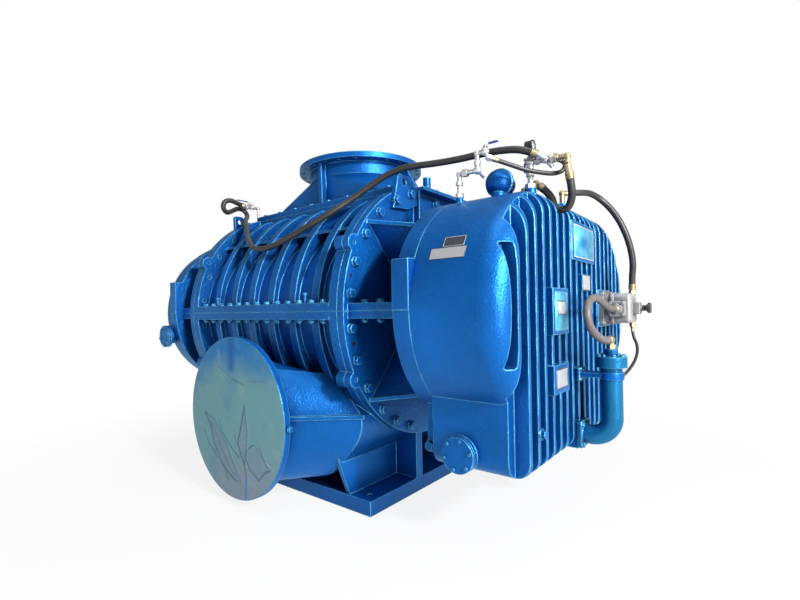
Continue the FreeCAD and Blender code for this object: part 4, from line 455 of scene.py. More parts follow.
def film_plastic(name, pale, dark, glint, sky):
    """Taut foil that drifts from a painted sky reflection in blue at the top to a lit grey-green, with
    patches of painted shade, painted shade in its folds and along its creases, painted highlight streaks, and
    marks that its mesh carries.
    """
    f = Finish(name)
    high = f.axis("Z")
    drift = f.cloud(3.4, 3.0, 0.55)
    fold = f.cloud(9.0, 5.0, 0.6)
    warm = f.cloud(1.8, 2.0, 0.5)
    marks = f.node("ShaderNodeVertexColor", {"layer_name": "marks"})
    line, leaf, smear = (f.node("ShaderNodeSeparateColor", sockets={"Color": marks}, out=k) for k in range(3))
    # Painted sky reflection: bluer towards the top, over the lit colour.
    base = f.mix(((high - 0.66) * 2.8 + (drift - 0.5) * 2.4).clipped(), pale, sky)
    low = f.mix(((0.40 - high) * 3.2 + (warm - 0.5) * 2.6).clipped(), base, (0.21, 0.27, 0.33))
    # Patches of painted shade.
    patched = f.mix(((drift - 0.55) * 3.2).clipped(), low, dark)
    # Painted shade inside the folds.
    folded = f.mix(leaf * (0.1 + 0.8 * fold), patched, (0.17, 0.24, 0.33))
    # Painted highlight streaks along the folds.
    streaked = f.mix(((fold - 0.56) * 2.6).clipped() * 0.6, folded, glint)
    # Painted shade along the creases.
    lined = f.mix(line * (0.35 + 0.7 * warm), streaked, (0.03, 0.10, 0.17))
    smeared = f.mix(smear, lined, (0.01, 0.09, 0.33))
    skin = f.bump(leaf + line * 0.6 + fold * 0.6, 0.006, None, 0.55)
    fine = f.bump(f.cloud(30.0, 4.0), 0.003, skin, 0.35)
    return f.surface(
        Base_Color=smeared, Roughness=0.34 + 0.2 * fold, Normal=fine, Specular_IOR_Level=0.12)


def cast_grey(name, colour):
    """Bare cast aluminium with a sand-cast skin, painted shade in its corners and bright edges."""
    f = Finish(name)
    rounded, edge = f.edges(0.004)
    hollow = f.hollows(0.06)
    mottle = f.cloud(22.0, 5.0, 0.65)
    base = f.mix(((mottle - 0.35) * 1.8).clipped(), shade(colour, 0.75), shade(colour, 1.2))
    # Painted shade: near black in corners and recesses.
    shade_darkened = f.mix((hollow * 1.5).clipped(), base, (0.05, 0.05, 0.055))
    bright = f.mix(edge * 0.6, shade_darkened, (0.75, 0.75, 0.76))
    skin = f.bump(f.cloud(150.0, 4.0, 0.7), 0.0012, rounded, 0.8)
    return f.surface(Base_Color=bright, Metallic=0.3, Roughness=0.45 + 0.2 * mottle, Normal=skin)


def moulded(name, colour, rough=0.35):
    """Moulded plastic with a faint texture and scuffed edges."""
    f = Finish(name)
    rounded, edge = f.edges(0.0015)
    mottle = f.cloud(60.0, 4.0)
    base = f.mix((mottle - 0.3) * 0.8, colour, [c * 1.25 + 0.004 for c in colour])
    edge_wear_and_highlight = f.mix(edge * 0.35, base, [c * 0.5 + 0.2 for c in colour])
    skin = f.bump(f.cloud(900.0), 0.0002, rounded, 0.4)
    return f.surface(Base_Color=edge_wear_and_highlight, Roughness=rough + 0.12 * mottle, Normal=skin, Coat_Weight=0.2)


def dial_card(name, colour):
    f = Finish(name)
    speck = f.cloud(500.0, 2.0)
    return f.surface(Base_Color=f.mix(speck * 0.12, colour, (0.6, 0.6, 0.58)), Roughness=0.5)


def clear_pane(name):
    f = Finish(name)
    smear = f.cloud(90.0, 3.0)
    return f.surface(
        Base_Color=(0.95, 0.98, 0.98), Roughness=0.02 + 0.04 * smear, Transmission_Weight=1.0, IOR=1.45)


def floor_paint(name, colour, glow):
    """A pale floor that the camera sees nearly white and white far off, with the object's shadow kept."""
    f = Finish(name)
    speck = f.cloud(1.2, 3.0)
    base = f.mix(speck * 0.2, colour, shade(colour, 0.97))
    matt = f.node("ShaderNodeBsdfPrincipled", sockets={"Base Color": base, "Roughness": 0.9})
    light = f.node("ShaderNodeEmission", sockets={"Color": (1.0, 1.0, 1.0), "Strength": 1.0})
    seen = f.node("ShaderNodeLightPath", out="Is Camera Ray")
    mirrored = f.node("ShaderNodeLightPath", out="Is Glossy Ray")
    through = f.node("ShaderNodeLightPath", out="Is Transmission Ray")
    away = f.node("ShaderNodeVectorMath", {"operation": "LENGTH"}, {0: f.place()}, out="Value")
    fade = ((away - FADE_FROM) / FADE_OVER).clipped()
    share = (seen + mirrored + through).clipped() * (glow + fade * (1.0 - glow))
    both = f.node("ShaderNodeMixShader", sockets={0: share, 1: matt, 2: light})
    f.node("ShaderNodeOutputMaterial", sockets={"Surface": both})
    return f.material


# Mesh helpers

def across_axis(axis):
    side = X_AXIS if abs(axis.dot(X_AXIS)) < 0.9 else Y_AXIS
    side = (side - axis * side.dot(axis)).normalized()
    return side, axis.cross(side)


def add_lathe(mesh, profile, start, axis, steps=28):
    """Turns a list of (radius, height) about an axis; a radius of 0 closes that end."""
    side, other = across_axis(axis)
    rings = []
    for r, h in profile:
        centre = start + axis * h
        if r == 0:
            rings.append([mesh.verts.new(centre)])
            continue
        turns = [2 * math.pi * k / steps for k in range(steps)]
        rings.append([mesh.verts.new(centre + (side * math.cos(t) + other * math.sin(t)) * r) for t in turns])
    join_rings(mesh, rings)


def add_pin(mesh, start, axis, r, length, nose=(0.0, 0.0), steps=24):
    """A round bar or disc; its far end narrows by the first number of `nose` over the second."""
    inward, along = nose
    profile = [(0, 0), (r, 0), (r, length - along)]
    if along:
        profile.append((r - inward, length))
    add_lathe(mesh, [*profile, (0, length)], start, axis, steps)


def join_rings(mesh, rings):
    """Skins a row of rings; a one-point ring is a pole."""
    for low, high in zip(rings, rings[1:]):
        count = max(len(low), len(high))
        for k in range(count):
            n = (k + 1) % count
            corners = []
            for ring, i in ((low, k), (low, n), (high, n), (high, k)):
                vert = ring[i % len(ring)]
                if vert not in corners:
                    corners.append(vert)
            mesh.faces.new(corners)


def add_bolt_head(mesh, start, axis, flats, height, washer=True):
    """A hexagon head or nut with chamfered corners, on a plain washer if it has one."""
    if washer:
        add_pin(mesh, start, axis, flats * 0.62, WASHER_THICK, (0.0008, 0.0008))
        start = start + axis * WASHER_THICK
    side, other = across_axis(axis)
    corner = flats / math.sqrt(3)

    def ring(scale_corner, scale_flat, drop_corner, drop_flat):
        made = []
        for k in range(12):
            turn = math.pi * k / 6
            at_corner = k % 2 == 0
            r = corner * scale_corner if at_corner else flats / 2 * scale_flat
            h = height - (drop_corner if at_corner else drop_flat)
            outward = side * math.cos(turn) + other * math.sin(turn)
            made.append(mesh.verts.new(start + axis * h + outward * r))
        return made

    chamfer = height * 0.16
    rings = [[mesh.verts.new(start)], ring(1, 1, height, height), ring(1, 1, chamfer, chamfer * 0.2),
             ring(0.84, 0.96, 0, 0), ring(0.6, 0.69, 0, 0)]
    join_rings(mesh, [*rings, [mesh.verts.new(start + axis * (height - 0.0006))]])


def add_box(mesh, low, high, bevel=0.0):
    """A box with bevelled edges."""
    made = bmesh.ops.create_cube(mesh, size=1.0)["verts"]
    size = Vector(high) - Vector(low)
    for vert in made:
        vert.co = Vector(low) + Vector(((vert.co.x + 0.5) * size.x, (vert.co.y + 0.5) * size.y,
                                        (vert.co.z + 0.5) * size.z))
    if bevel:
        edges = list({edge for vert in made for edge in vert.link_edges})
        bmesh.ops.bevel(mesh, geom=edges, offset=bevel, segments=2, affect="EDGES", profile=0.5)


def finish_piece(name, mesh, finish, body, smooth=40.0):
    """Turns a bmesh into a piece that rides on a body."""
    bmesh.ops.recalc_face_normals(mesh, faces=mesh.faces)
    data = bpy.data.meshes.new(name)
    mesh.to_mesh(data)
    mesh.free()
    data.materials.append(finish)
    piece = bpy.data.objects.new(name, data)
    bpy.context.scene.collection.objects.link(piece)
    data.shade_smooth()
    data.set_sharp_from_angle(angle=math.radians(smooth))
    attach(piece, body)
    return piece


def paint_nodes(finish, names):
    for name in names:
        for place in frame["nodes"][name].material_slots:
            place.material = finish


# Sizes and colours a user would change

class BlowerStage(bpy.types.PropertyGroup):
    """Floor, lamps and camera."""
    key_power: FloatProperty(
        name="Key lamp", description="Power of the small lamp high at the gear end",
        default=820.0, unit="POWER")
    top_power: FloatProperty(
        name="Top lamp", description="Power of the lamp overhead",
        default=95.0, unit="POWER")
    side_power: FloatProperty(
        name="Side lamp", description="Power of the tall narrow lamp at the gear end",
        default=370.0, unit="POWER")
    ambient: FloatProperty(name="Ambient", description="Strength of the light from all round", default=0.28)
    floor_colour: FloatVectorProperty(
        name="Floor", description="Colour of the floor",
        default=(0.70, 0.705, 0.71), subtype="COLOR")
    lens: FloatProperty(name="Lens", description="Focal length of the camera", default=20.44, unit="CAMERA")


class BlowerPaint(bpy.types.PropertyGroup):
    """Colours of the painted and bare surfaces."""
    blue: FloatVectorProperty(
        name="Enamel", description="Colour of the blue enamel",
        default=(0.003, 0.110, 0.43), subtype="COLOR")
    teal: FloatVectorProperty(
        name="Filter enamel", description="Colour of the filter vessel's greener enamel",
        default=(0.010, 0.150, 0.34), subtype="COLOR")
    # Colour of the enamel's painted shade in hollows
    deep: FloatVectorProperty(
        name="Enamel in hollows", description="Enamel where little light falls",
        default=(0.001, 0.040, 0.200), subtype="COLOR")
    # Colour of the enamel's painted highlights along edges and of its painted sparkle
    pale: FloatVectorProperty(
        name="Enamel on edges", description="Enamel where edges catch the light",
        default=(0.20, 0.70, 0.92), subtype="COLOR")
    pump: FloatVectorProperty(
        name="Pump", description="Colour of the cast oil pump",
        default=(0.38, 0.375, 0.38), subtype="COLOR")
    plated: FloatVectorProperty(
        name="Plated steel", description="Colour of zinc-plated fittings",
        default=(0.74, 0.74, 0.73), subtype="COLOR")
    brass: FloatVectorProperty(
        name="Brass", description="Colour of the hose fittings",
        default=(0.50, 0.41, 0.22), subtype="COLOR")


class BlowerHoses(bpy.types.PropertyGroup):
    """The free oil hoses."""
    cover: FloatVectorProperty(
        name="Hose cover", description="Colour of the grey hoses",
        default=(0.026, 0.025, 0.025), subtype="COLOR")
    light: FloatVectorProperty(
        name="Filter hose", description="Colour of the lighter hose",
        default=(0.12, 0.108, 0.105), subtype="COLOR")
    dark: FloatVectorProperty(
        name="Drain hose", description="Colour of the thin black hose",
        default=(0.02, 0.02, 0.022), subtype="COLOR")
    # Colour of the dusting and painted sheen on the hoses' tops
    dust_and_sheen: FloatVectorProperty(
        name="Dust", description="Colour of the dust on top",
        default=(0.22, 0.215, 0.215), subtype="COLOR")
    ferrule: FloatProperty(
        name="Ferrule", description="Length of the crimped sleeves",
        default=0.032, unit="LENGTH")


class BlowerFilm(bpy.types.PropertyGroup):
    """The film over the outlet."""
    radius: FloatProperty(name="Radius", description="Radius of the film", default=0.503, unit="LENGTH")
    crease: FloatProperty(name="Crease", description="Height of its folds", default=0.0022, unit="LENGTH")
    # The film's colours paint its light: its lit colour, painted highlight streaks, a painted sky reflection
    # near its top and painted shade.
    pale: FloatVectorProperty(
        name="Lit film", description="Colour where it faces the light",
        default=(0.150, 0.325, 0.36), subtype="COLOR")
    glint: FloatVectorProperty(
        name="Fold streaks", description="Colour of its lighter streaks",
        default=(0.34, 0.50, 0.45), subtype="COLOR")
    sky: FloatVectorProperty(
        name="Upper film", description="Colour near its top",
        default=(0.016, 0.175, 0.46), subtype="COLOR")
    dark: FloatVectorProperty(
        name="Shaded film", description="Colour lower down",
        default=(0.10, 0.24, 0.37), subtype="COLOR")


class BlowerGauge(bpy.types.PropertyGroup):
    """The small pressure gauge."""
    dial: FloatVectorProperty(
        name="Dial", description="Colour of the dial card",
        default=(0.86, 0.86, 0.84), subtype="COLOR")
    ink: FloatVectorProperty(
        name="Ink", description="Colour of the ticks and numbers",
        default=(0.02, 0.02, 0.02), subtype="COLOR")
    span: FloatProperty(
        name="Sweep", description="Angle the scale covers",
        default=math.radians(270), subtype="ANGLE")


class BlowerTrim(bpy.types.PropertyGroup):
    """Lever sleeves and plates."""
    sleeve: FloatVectorProperty(
        name="Lever sleeve", description="Colour of the lever sleeves",
        default=(0.02, 0.035, 0.33), subtype="COLOR")
    plate: FloatVectorProperty(
        name="Plate", description="Colour of the bright plates",
        default=(0.62, 0.64, 0.66), subtype="COLOR")
    dark_plate: FloatVectorProperty(
        name="Dark plate", description="Colour of the dark plates",
        default=(0.03, 0.035, 0.045), subtype="COLOR")


# Pieces

class BLOWER_OT_stage(bpy.types.Operator):
    """Sets the camera, the floor, the lamps and the pale surroundings"""
    bl_idname = "blower.stage"
    bl_label = "Stage"

    def execute(self, context):
        size = context.scene.blower_stage
        self.camera(context, size.lens)
        data = bpy.data.meshes.new("floor")
        corners = [(x * FLOOR_HALF, y * FLOOR_HALF, 0) for x, y in ((-1, -1), (1, -1), (1, 1), (-1, 1))]
        data.from_pydata(corners, [], [(0, 1, 2, 3)])
        floor = bpy.data.objects.new("floor", data)
        context.scene.collection.objects.link(floor)
        data.materials.append(floor_paint("pale floor", list(size.floor_colour), FLOOR_GLOW))
        for name, (at, to, area) in LAMPS.items():
            self.lamp(context, name + " lamp", at, to, area, getattr(size, name + "_power"))
        self.surroundings(context, size.ambient)
        context.scene.view_settings.view_transform = "Standard"
        return {"FINISHED"}

    def camera(self, context, lens):
        data = bpy.data.cameras.new("camera")
        data.lens = lens
        data.sensor_width = 36.0
        data.shift_x, data.shift_y = CAMERA_SHIFT
        data.clip_end = 200.0
        camera = bpy.data.objects.new("camera", data)
        context.scene.collection.objects.link(camera)
        yaw, pitch, roll = (math.radians(turn) for turn in (CAMERA_YAW, CAMERA_PITCH, CAMERA_ROLL))
        forward = Vector((-math.sin(yaw) * math.cos(pitch), math.cos(yaw) * math.cos(pitch), math.sin(pitch)))
        level = Vector((math.cos(yaw), math.sin(yaw), 0.0))
        upright = level.cross(forward)
        right = level * math.cos(roll) + upright * math.sin(roll)
        up = upright * math.cos(roll) - level * math.sin(roll)
        turn = Matrix((right, up, -forward)).transposed().to_4x4()
        camera.matrix_world = Matrix.Translation(CAMERA_AT) @ turn
        context.scene.camera = camera

    def lamp(self, context, name, at, to, area, power):
        data = bpy.data.lights.new(name, "AREA")
        data.shape = "RECTANGLE"
        data.size, data.size_y = area
        data.energy = power
        lamp = bpy.data.objects.new(name, data)
        lamp.location = at
        lamp.rotation_euler = (Vector(to) - Vector(at)).to_track_quat("-Z", "Y").to_euler()
        context.scene.collection.objects.link(lamp)

    def surroundings(self, context, ambient):
        world = bpy.data.worlds.new("pale surroundings")
        context.scene.world = world
        n = Nodes(world)
        seen, through, mirrored = (n.node("ShaderNodeLightPath", out="Is %s Ray" % kind)
                                   for kind in ("Camera", "Transmission", "Glossy"))
        height = n.node("ShaderNodeSeparateXYZ", sockets={
            "Vector": n.node("ShaderNodeTexCoord", out="Generated")}, out="Z")
        shine = SHINE_LEVEL - (height * SHINE_RISE).clipped() * SHINE_DROP
        strength = (seen + through).clipped() * (1.0 - ambient) + mirrored * (shine - ambient) + ambient
        sky = n.node("ShaderNodeBackground", sockets={"Color": (1.0, 1.0, 1.0), "Strength": strength})
        n.node("ShaderNodeOutputWorld", sockets={"Surface": sky})


class BLOWER_OT_hoses(bpy.types.Operator):
    """Lays the six oil hoses along their routes, with a crimped sleeve on each end"""
    bl_idname = "blower.hoses"
    bl_label = "Hoses"

    def execute(self, context):
        size = context.scene.blower_hoses
        grey = hose_rubber("grey hose cover", list(size.cover), list(size.dust_and_sheen))
        light = hose_rubber("light hose cover", list(size.light), list(size.dust_and_sheen))
        black = hose_rubber("black hose cover", list(size.dark), shade(size.dust_and_sheen, 0.4))
        brass = steel("crimped sleeve", list(context.scene.blower_paint.brass), 0.3)
        for name, (route, wide, length) in HOSES.items():
            cover = {"pump_drain_hose": black, "pump_filter_hose": light}.get(name, grey)
            sleeves = self.sleeves(name, route, wide, size.ferrule, brass)
            hose = self.lay(context, name, route, wide, cover)
            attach(hose, "casing")
            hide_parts(name)
        return {"FINISHED"}

    def lay(self, context, name, route, wide, cover):
        data = bpy.data.curves.new(name + "_line", "CURVE")
        data.dimensions = "3D"
        data.bevel_depth = wide / 2
        data.bevel_resolution = 6
        data.resolution_u = 10
        line = data.splines.new("NURBS")
        line.points.add(len(route) - 1)
        for point, place in zip(line.points, route):
            point.co = (*place, 1.0)
        line.order_u = 3
        line.use_endpoint_u = True
        data.materials.append(cover)
        hose = bpy.data.objects.new(name + "_cover", data)
        context.scene.collection.objects.link(hose)
        return hose

    def sleeves(self, name, route, wide, length, finish):
        mesh = bmesh.new()
        r = wide / 2
        for a, b in ((route[0], route[1]), (route[-1], route[-2])):
            start = Vector(a)
            axis = (Vector(b) - start).normalized()
            reach = min(length, wide * 1.2)
            profile = [(r * 0.9, -0.002), (r * 1.08, -0.002), (r * 1.12, reach * 0.08)]
            for k in range(4):
                at = reach * (0.2 + 0.18 * k)
                profile += [(r * 1.12, at), (r * 1.05, at + reach * 0.04), (r * 1.05, at + reach * 0.09),
                            (r * 1.12, at + reach * 0.13)]
            profile += [(r * 1.12, reach * 0.95), (r * 1.07, reach), (r * 0.96, reach)]
            add_lathe(mesh, profile, start, axis, 28)
        return finish_piece(name + "_sleeves", mesh, finish, "casing")


def off_line(x, z, a, b):
    """Distance of a point from a line between two others."""
    run = Vector(b) - Vector(a)
    away = Vector((x, z)) - Vector(a)
    along = max(0.0, min(1.0, away.dot(run) / run.length_squared))
    return (away - run * along).length


def inside_outline(x, z, outline):
    """True where a point lies in a closed outline."""
    inside = False
    for (xa, za), (xb, zb) in zip(outline, (*outline[1:], outline[0])):
        if (za > z) != (zb > z) and x < xa + (z - za) / (zb - za) * (xb - xa):
            inside = not inside
    return inside


class BLOWER_OT_film(bpy.types.Operator):
    """Stretches the creased shipping film over the outlet flange"""
    bl_idname = "blower.film"
    bl_label = "Outlet film"

    def execute(self, context):
        size = context.scene.blower_film
        low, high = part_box("outlet_cover_film")
        centre = (low + high) / 2
        mesh = bmesh.new()
        colour = mesh.loops.layers.float_color.new("marks")
        marked, rows = {}, []
        for i in range(FILM_RINGS + 1):
            r = size.radius * i / FILM_RINGS
            row = []
            for k in range(FILM_SPOKES if i else 1):
                turn = 2 * math.pi * k / FILM_SPOKES
                x, z = centre.x + r * math.cos(turn), centre.z + r * math.sin(turn)
                marks = self.marks(x, z)
                front = high.y - FILM_SKIN - self.lift(x, z, centre, size, marks)
                row.append(mesh.verts.new((x, front, z)))
                marked[row[-1]] = marks
            rows.append(row)
        back = [mesh.verts.new((v.co.x, high.y, v.co.z)) for v in rows[-1]]
        middle = mesh.verts.new((centre.x, high.y, centre.z))
        marked.update((behind, marked[v]) for behind, v in zip(back, rows[-1]))
        marked[middle] = marked[rows[0][0]]
        join_rings(mesh, rows + [back, [middle]])
        for vert, marks in marked.items():
            for loop in vert.link_loops:
                loop[colour] = (*marks, 1.0)
        finish = film_plastic("shipping film", list(size.pale), list(size.dark), list(size.glint),
                              list(size.sky))
        film = finish_piece("outlet_film", mesh, finish, "casing", 75.0)
        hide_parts("outlet_cover_film")
        self.slit(high.y)
        return {"FINISHED"}

    def slit(self, back):
        """The narrow opening at the foot of the film, where the paint behind it shows."""
        mesh = bmesh.new()
        rings = []
        for x, z in SLIT:
            rings.append([mesh.verts.new((x + across * SLIT_HALF, back - depth, z)) for across, depth in (
                (-1, SLIT_BACK), (1, SLIT_BACK), (1, SLIT_FRONT), (-1, SLIT_FRONT))])
        ends = [[mesh.verts.new((x, back - SLIT_TIP, z))] for x, z in SLIT]
        join_rings(mesh, [ends[0], *rings, ends[1]])
        blue = moulded("film slit", [0.0, 0.13, 0.60], 0.5)
        finish_piece("film_slit", mesh, blue, "casing", 30.0)

    def marks(self, x, z):
        """How much of a crease line, of a fold's inside and of the dark smear lies at a point."""
        line = 0.0
        for half, *places in FILM_CREASES:
            for a, b in zip(places, places[1:]):
                line = max(line, 1.0 - off_line(x, z, a, b) / (half * 1.5))
        smear = 1.0 - off_line(x, z, *SMEAR) / SMEAR_REACH
        leaf = 1.0 if any(inside_outline(x, z, outline) for outline in FILM_LEAVES) else 0.0
        return line, leaf, max(0.0, smear * 0.8)

    def lift(self, x, z, centre, size, marks):
        """Height of the film's folds over its plane."""
        rim = 1.0 - min(1.0, (math.hypot(x - centre.x, z - centre.z) / size.radius) ** 6)
        line, leaf = marks[:2]
        billow = 0.5 + 0.25 * math.sin(9.0 * x + 4.0 * z) + 0.25 * math.sin(7.0 * z - 5.0 * x)
        return size.crease * rim * (0.45 * billow + 0.3 * leaf + 0.25 * line)


class BLOWER_OT_gauge(bpy.types.Operator):
    """Makes the gauge's dial card with its ticks and numbers"""
    bl_idname = "blower.gauge"
    bl_label = "Gauge face"

    def execute(self, context):
        size = context.scene.blower_gauge
        low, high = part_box("gauge_glass")
        centre = (low + high) / 2
        mesh = bmesh.new()
        start = Vector((low.x - DIAL_BACK, centre.y, centre.z))
        add_pin(mesh, start, X_AXIS, DIAL_R, DIAL_THICK, steps=48)
        finish_piece("gauge_dial", mesh, dial_card("dial card", list(size.dial)), "casing")
        ink = moulded("dial ink", list(size.ink), 0.5)
        mesh = bmesh.new()
        for k in range(TICKS + 1):
            outward = self.outward(size.span, k / TICKS)
            long = 0.0046 if k % 10 == 0 else (0.0034 if k % 5 == 0 else 0.0022)
            wide = 0.0005 if k % 10 == 0 else 0.0003
            aside = Vector((0, -outward.z, outward.y)) * wide
            mesh.faces.new([mesh.verts.new(start + X_AXIS * INK_RISE + outward * r + aside * s) for r, s in (
                (TICK_R - long, -1), (TICK_R - long, 1), (TICK_R, 1), (TICK_R, -1))])
        bmesh.ops.solidify(mesh, geom=mesh.faces[:], thickness=0.0002)
        finish_piece("gauge_ticks", mesh, ink, "casing")
        for k in range(NUMBERS + 1):
            at = start + X_AXIS * INK_RISE + self.outward(size.span, k / NUMBERS) * NUMBER_R
            self.number(context, k, at, ink)
        return {"FINISHED"}

    def outward(self, span, share):
        """Direction from the dial's middle to a share of its scale, which opens downwards."""
        turn = math.pi * 1.5 - (math.pi * 2 - span) / 2 - span * share
        return Vector((0, math.cos(turn), math.sin(turn)))

    def number(self, context, value, at, ink):
        data = bpy.data.curves.new("gauge_number_%d" % value, "FONT")
        data.body = str(value * 2)
        data.size = 0.006
        data.align_x, data.align_y = "CENTER", "CENTER"
        data.extrude = 0.0001
        data.materials.append(ink)
        number = bpy.data.objects.new("gauge_number_%d" % value, data)
        number.matrix_world = Matrix.Translation(at) @ Matrix(
            ((0, 0, 1, 0), (1, 0, 0, 0), (0, 1, 0, 0), (0, 0, 0, 1)))
        context.scene.collection.objects.link(number)
        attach(number, "casing")


class BLOWER_OT_levers(bpy.types.Operator):
    """Dips each valve lever's handle in a blue plastic sleeve"""
    bl_idname = "blower.levers"
    bl_label = "Lever sleeves"

    def execute(self, context):
        sleeve = moulded("lever sleeve", list(context.scene.blower_trim.sleeve), 0.22)
        for lever in LEVERS:
            self.sleeve(*lever, sleeve)
        return {"FINISHED"}

    def sleeve(self, node, body, along, side, near, wide, finish):
        low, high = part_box(node)
        joint = next(j for j in frame["joints"] if j["child"] == body)
        pivot = Vector(joint["pos_m"])
        normal = along.cross(side)
        ends = sorted(((low - pivot).dot(normal), (high - pivot).dot(normal)))
        far_side = ends[1] if sum(ends) > 0 else ends[0]
        level = normal * (far_side - math.copysign(0.0025, far_side))
        base, tip = pivot.dot(along), max(low.dot(along), high.dot(along))
        mesh = bmesh.new()
        rings = []
        length = tip - base + 0.002 - near
        for t, scale in SLEEVE_FORM:
            centre = pivot + level + along * (near + length * t)
            if scale == 0.0:
                rings.append([mesh.verts.new(centre)])
                continue
            ring = []
            for k in range(20):
                turn = 2 * math.pi * k / 20
                c, s = math.cos(turn), math.sin(turn)
                across = math.copysign(abs(c) ** 0.6, c) * (wide / 2 + 0.0016) * scale
                up = math.copysign(abs(s) ** 0.6, s) * 0.0042 * scale
                ring.append(mesh.verts.new(centre + side * across + normal * up))
            rings.append(ring)
        join_rings(mesh, rings)
        finish_piece(node + "_sleeve", mesh, finish, body, 60.0)


def cover_places():
    """Bolt places of an end cover, as (y, z)."""
    places = []
    for turn in BOLT_TURNS:
        y = END_Y + BOLT_R * math.cos(math.radians(turn))
        z = BOLT_R * math.sin(math.radians(turn))
        places += [(sy * y, SHAFT_Z + sz * z) for sy in (-1, 1) for sz in (-1, 1)]
    for y in (-LOW_BOLT_Y, 0.0, LOW_BOLT_Y):
        places += [(y, SHAFT_Z + sz * BOLT_LOW) for sz in (-1, 1)]
    return places


class BLOWER_OT_bolts(bpy.types.Operator):
    """Sets chamfered heads, washers, nuts and screws in place of the plain ones"""
    bl_idname = "blower.bolts"
    bl_label = "Bolts and screws"

    def execute(self, context):
        paint = context.scene.blower_paint
        blue = enamel("painted bolt", list(paint.blue), list(paint.deep), list(paint.pale), 0.0, 0.2)
        self.cover_bolts(blue)
        self.split_bolts(blue)
        self.hood_bolts(blue)
        self.small_parts(blue)
        return {"FINISHED"}

    def cover_bolts(self, finish):
        mesh = bmesh.new()
        for side in (-1, 1):
            for y, z in cover_places():
                lift = LUG_THICK if z > SHAFT_Z + LUG_LOW and abs(y) > RAIL_Y else 0.0
                start = Vector((side * (COVER_X + lift), y, z))
                add_bolt_head(mesh, start, X_AXIS * side, *COVER_HEAD)
                add_pin(mesh, start, X_AXIS * -side, COVER_SHANK_R, COVER_GRIP + lift, (0.002, 0.002), 18)
        piece = finish_piece("cover_bolt_heads", mesh, finish, "casing", 30.0)
        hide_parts("end_cover_bolts")

    def split_bolts(self, finish):
        mesh = bmesh.new()
        for k in range(SPLIT_BOLTS):
            x = (k - (SPLIT_BOLTS - 1) / 2) * RIB_PITCH / 2
            for y in (-SPLIT_Y, SPLIT_Y):
                self.through_bolt(mesh, x, y, SPLIT_HALF)
        for side, neck, count in ((1, GEAR_NECK, 3), (-1, DRIVE_NECK, 1)):
            for k in range(count):
                x = side * (COVER_X + neck * (k + 0.7) / (count + 0.2))
                for y in (-LEDGE_Y, LEDGE_Y):
                    self.through_bolt(mesh, x, y, LEDGE_HALF)
        for k in (-STUD_RIB, STUD_RIB):
            for y in (-SPLIT_Y, SPLIT_Y):
                foot = Vector((k * RIB_PITCH, y, SHAFT_Z + SPLIT_HALF))
                add_pin(mesh, foot, Z_AXIS, STUD_R, STUD_HIGH, steps=16)
                add_bolt_head(mesh, foot + Z_AXIS * STUD_HIGH, Z_AXIS, *STUD_HEAD, washer=False)
        reach = END_Y + math.sqrt(END_R ** 2 - EAR_DROP ** 2)
        for y in (-reach, reach):
            for z in (SHAFT_Z - EAR_DROP, SHAFT_Z + EAR_DROP):
                for side in (-1, 1):
                    start = Vector((side * (CASING_HALF - EAR_PIN_BACK), y, z))
                    add_pin(mesh, start, X_AXIS * side, EAR_PIN_R, EAR_PIN, (0.0015, 0.002), 20)
        piece = finish_piece("split_line_bolt_heads", mesh, finish, "casing", 30.0)
        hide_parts("split_line_bolts")

    def through_bolt(self, mesh, x, y, half):
        add_bolt_head(mesh, Vector((x, y, SHAFT_Z + half)), Z_AXIS, *SPLIT_HEAD)
        under = Vector((x, y, SHAFT_Z - half))
        add_pin(mesh, under, -Z_AXIS, SPLIT_TAIL_R, SPLIT_TAIL, (0.0015, 0.002), 18)
        add_bolt_head(mesh, under, -Z_AXIS, *SPLIT_NUT, washer=False)

    def hood_bolts(self, finish):
        mesh = bmesh.new()
        x1, y1 = HOOD_BOLT_X, HOOD_BOLT_Y
        places = [(-x1 + 2 * x1 * k / 7, y) for k in range(8) for y in (-y1, y1)]
        places += [(x, y) for y in (-y1 / 2, 0.0, y1 / 2) for x in (-x1, x1)]
        for x, y in places:
            add_bolt_head(mesh, Vector((x, y, PAD_TOP)), Z_AXIS, *HOOD_HEAD, washer=False)
        piece = finish_piece("hood_bolt_heads", mesh, finish, "casing", 30.0)
        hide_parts("inlet_hood_bolts")

    def small_parts(self, finish):
        mesh = bmesh.new()
        add_bolt_head(mesh, Vector(SEAM_NUT), X_AXIS, *SEAM_HEAD)
        finish_piece("outlet_seam_nut", mesh, finish, "casing", 30.0)
        mesh = bmesh.new()
        # Dark discs on the end cover: painted shade for the insides of its tapped holes.
        for y, z in HOLE_SHADE_DISCS:
            add_pin(mesh, Vector((COVER_X, y, z)), X_AXIS, HOLE_SHADE_R, HOLE_SHADE_RISE)
        dark = moulded("hole plug", [0.004, 0.006, 0.010], 0.5)
        finish_piece("jacking_hole_plugs", mesh, dark, "casing", 30.0)


def flank_point(x, z, lift):
    """A point over the case's round flank, `lift` off its skin."""
    r = CASE_R + lift
    return Vector((x, -CASE_Y - math.sqrt(r * r - (z - SHAFT_Z) ** 2), z))


def add_skin(mesh, x0, x1, z0, z1, low, high):
    """A thin sheet bent round the flank, between two lifts off it."""
    steps = 8
    layers = []
    for lift in (low, high):
        layers.append([[mesh.verts.new(flank_point(x, z0 + (z1 - z0) * k / steps, lift)) for x in (x0, x1)]
                       for k in range(steps + 1)])
    inner, outer = layers
    for k in range(steps):
        mesh.faces.new((outer[k][0], outer[k][1], outer[k + 1][1], outer[k + 1][0]))
        mesh.faces.new((inner[k][0], inner[k + 1][0], inner[k + 1][1], inner[k][1]))
        for i in (0, 1):
            mesh.faces.new((inner[k][i], outer[k][i], outer[k + 1][i], inner[k + 1][i]))
    for k in (0, steps):
        mesh.faces.new((inner[k][0], inner[k][1], outer[k][1], outer[k][0]))


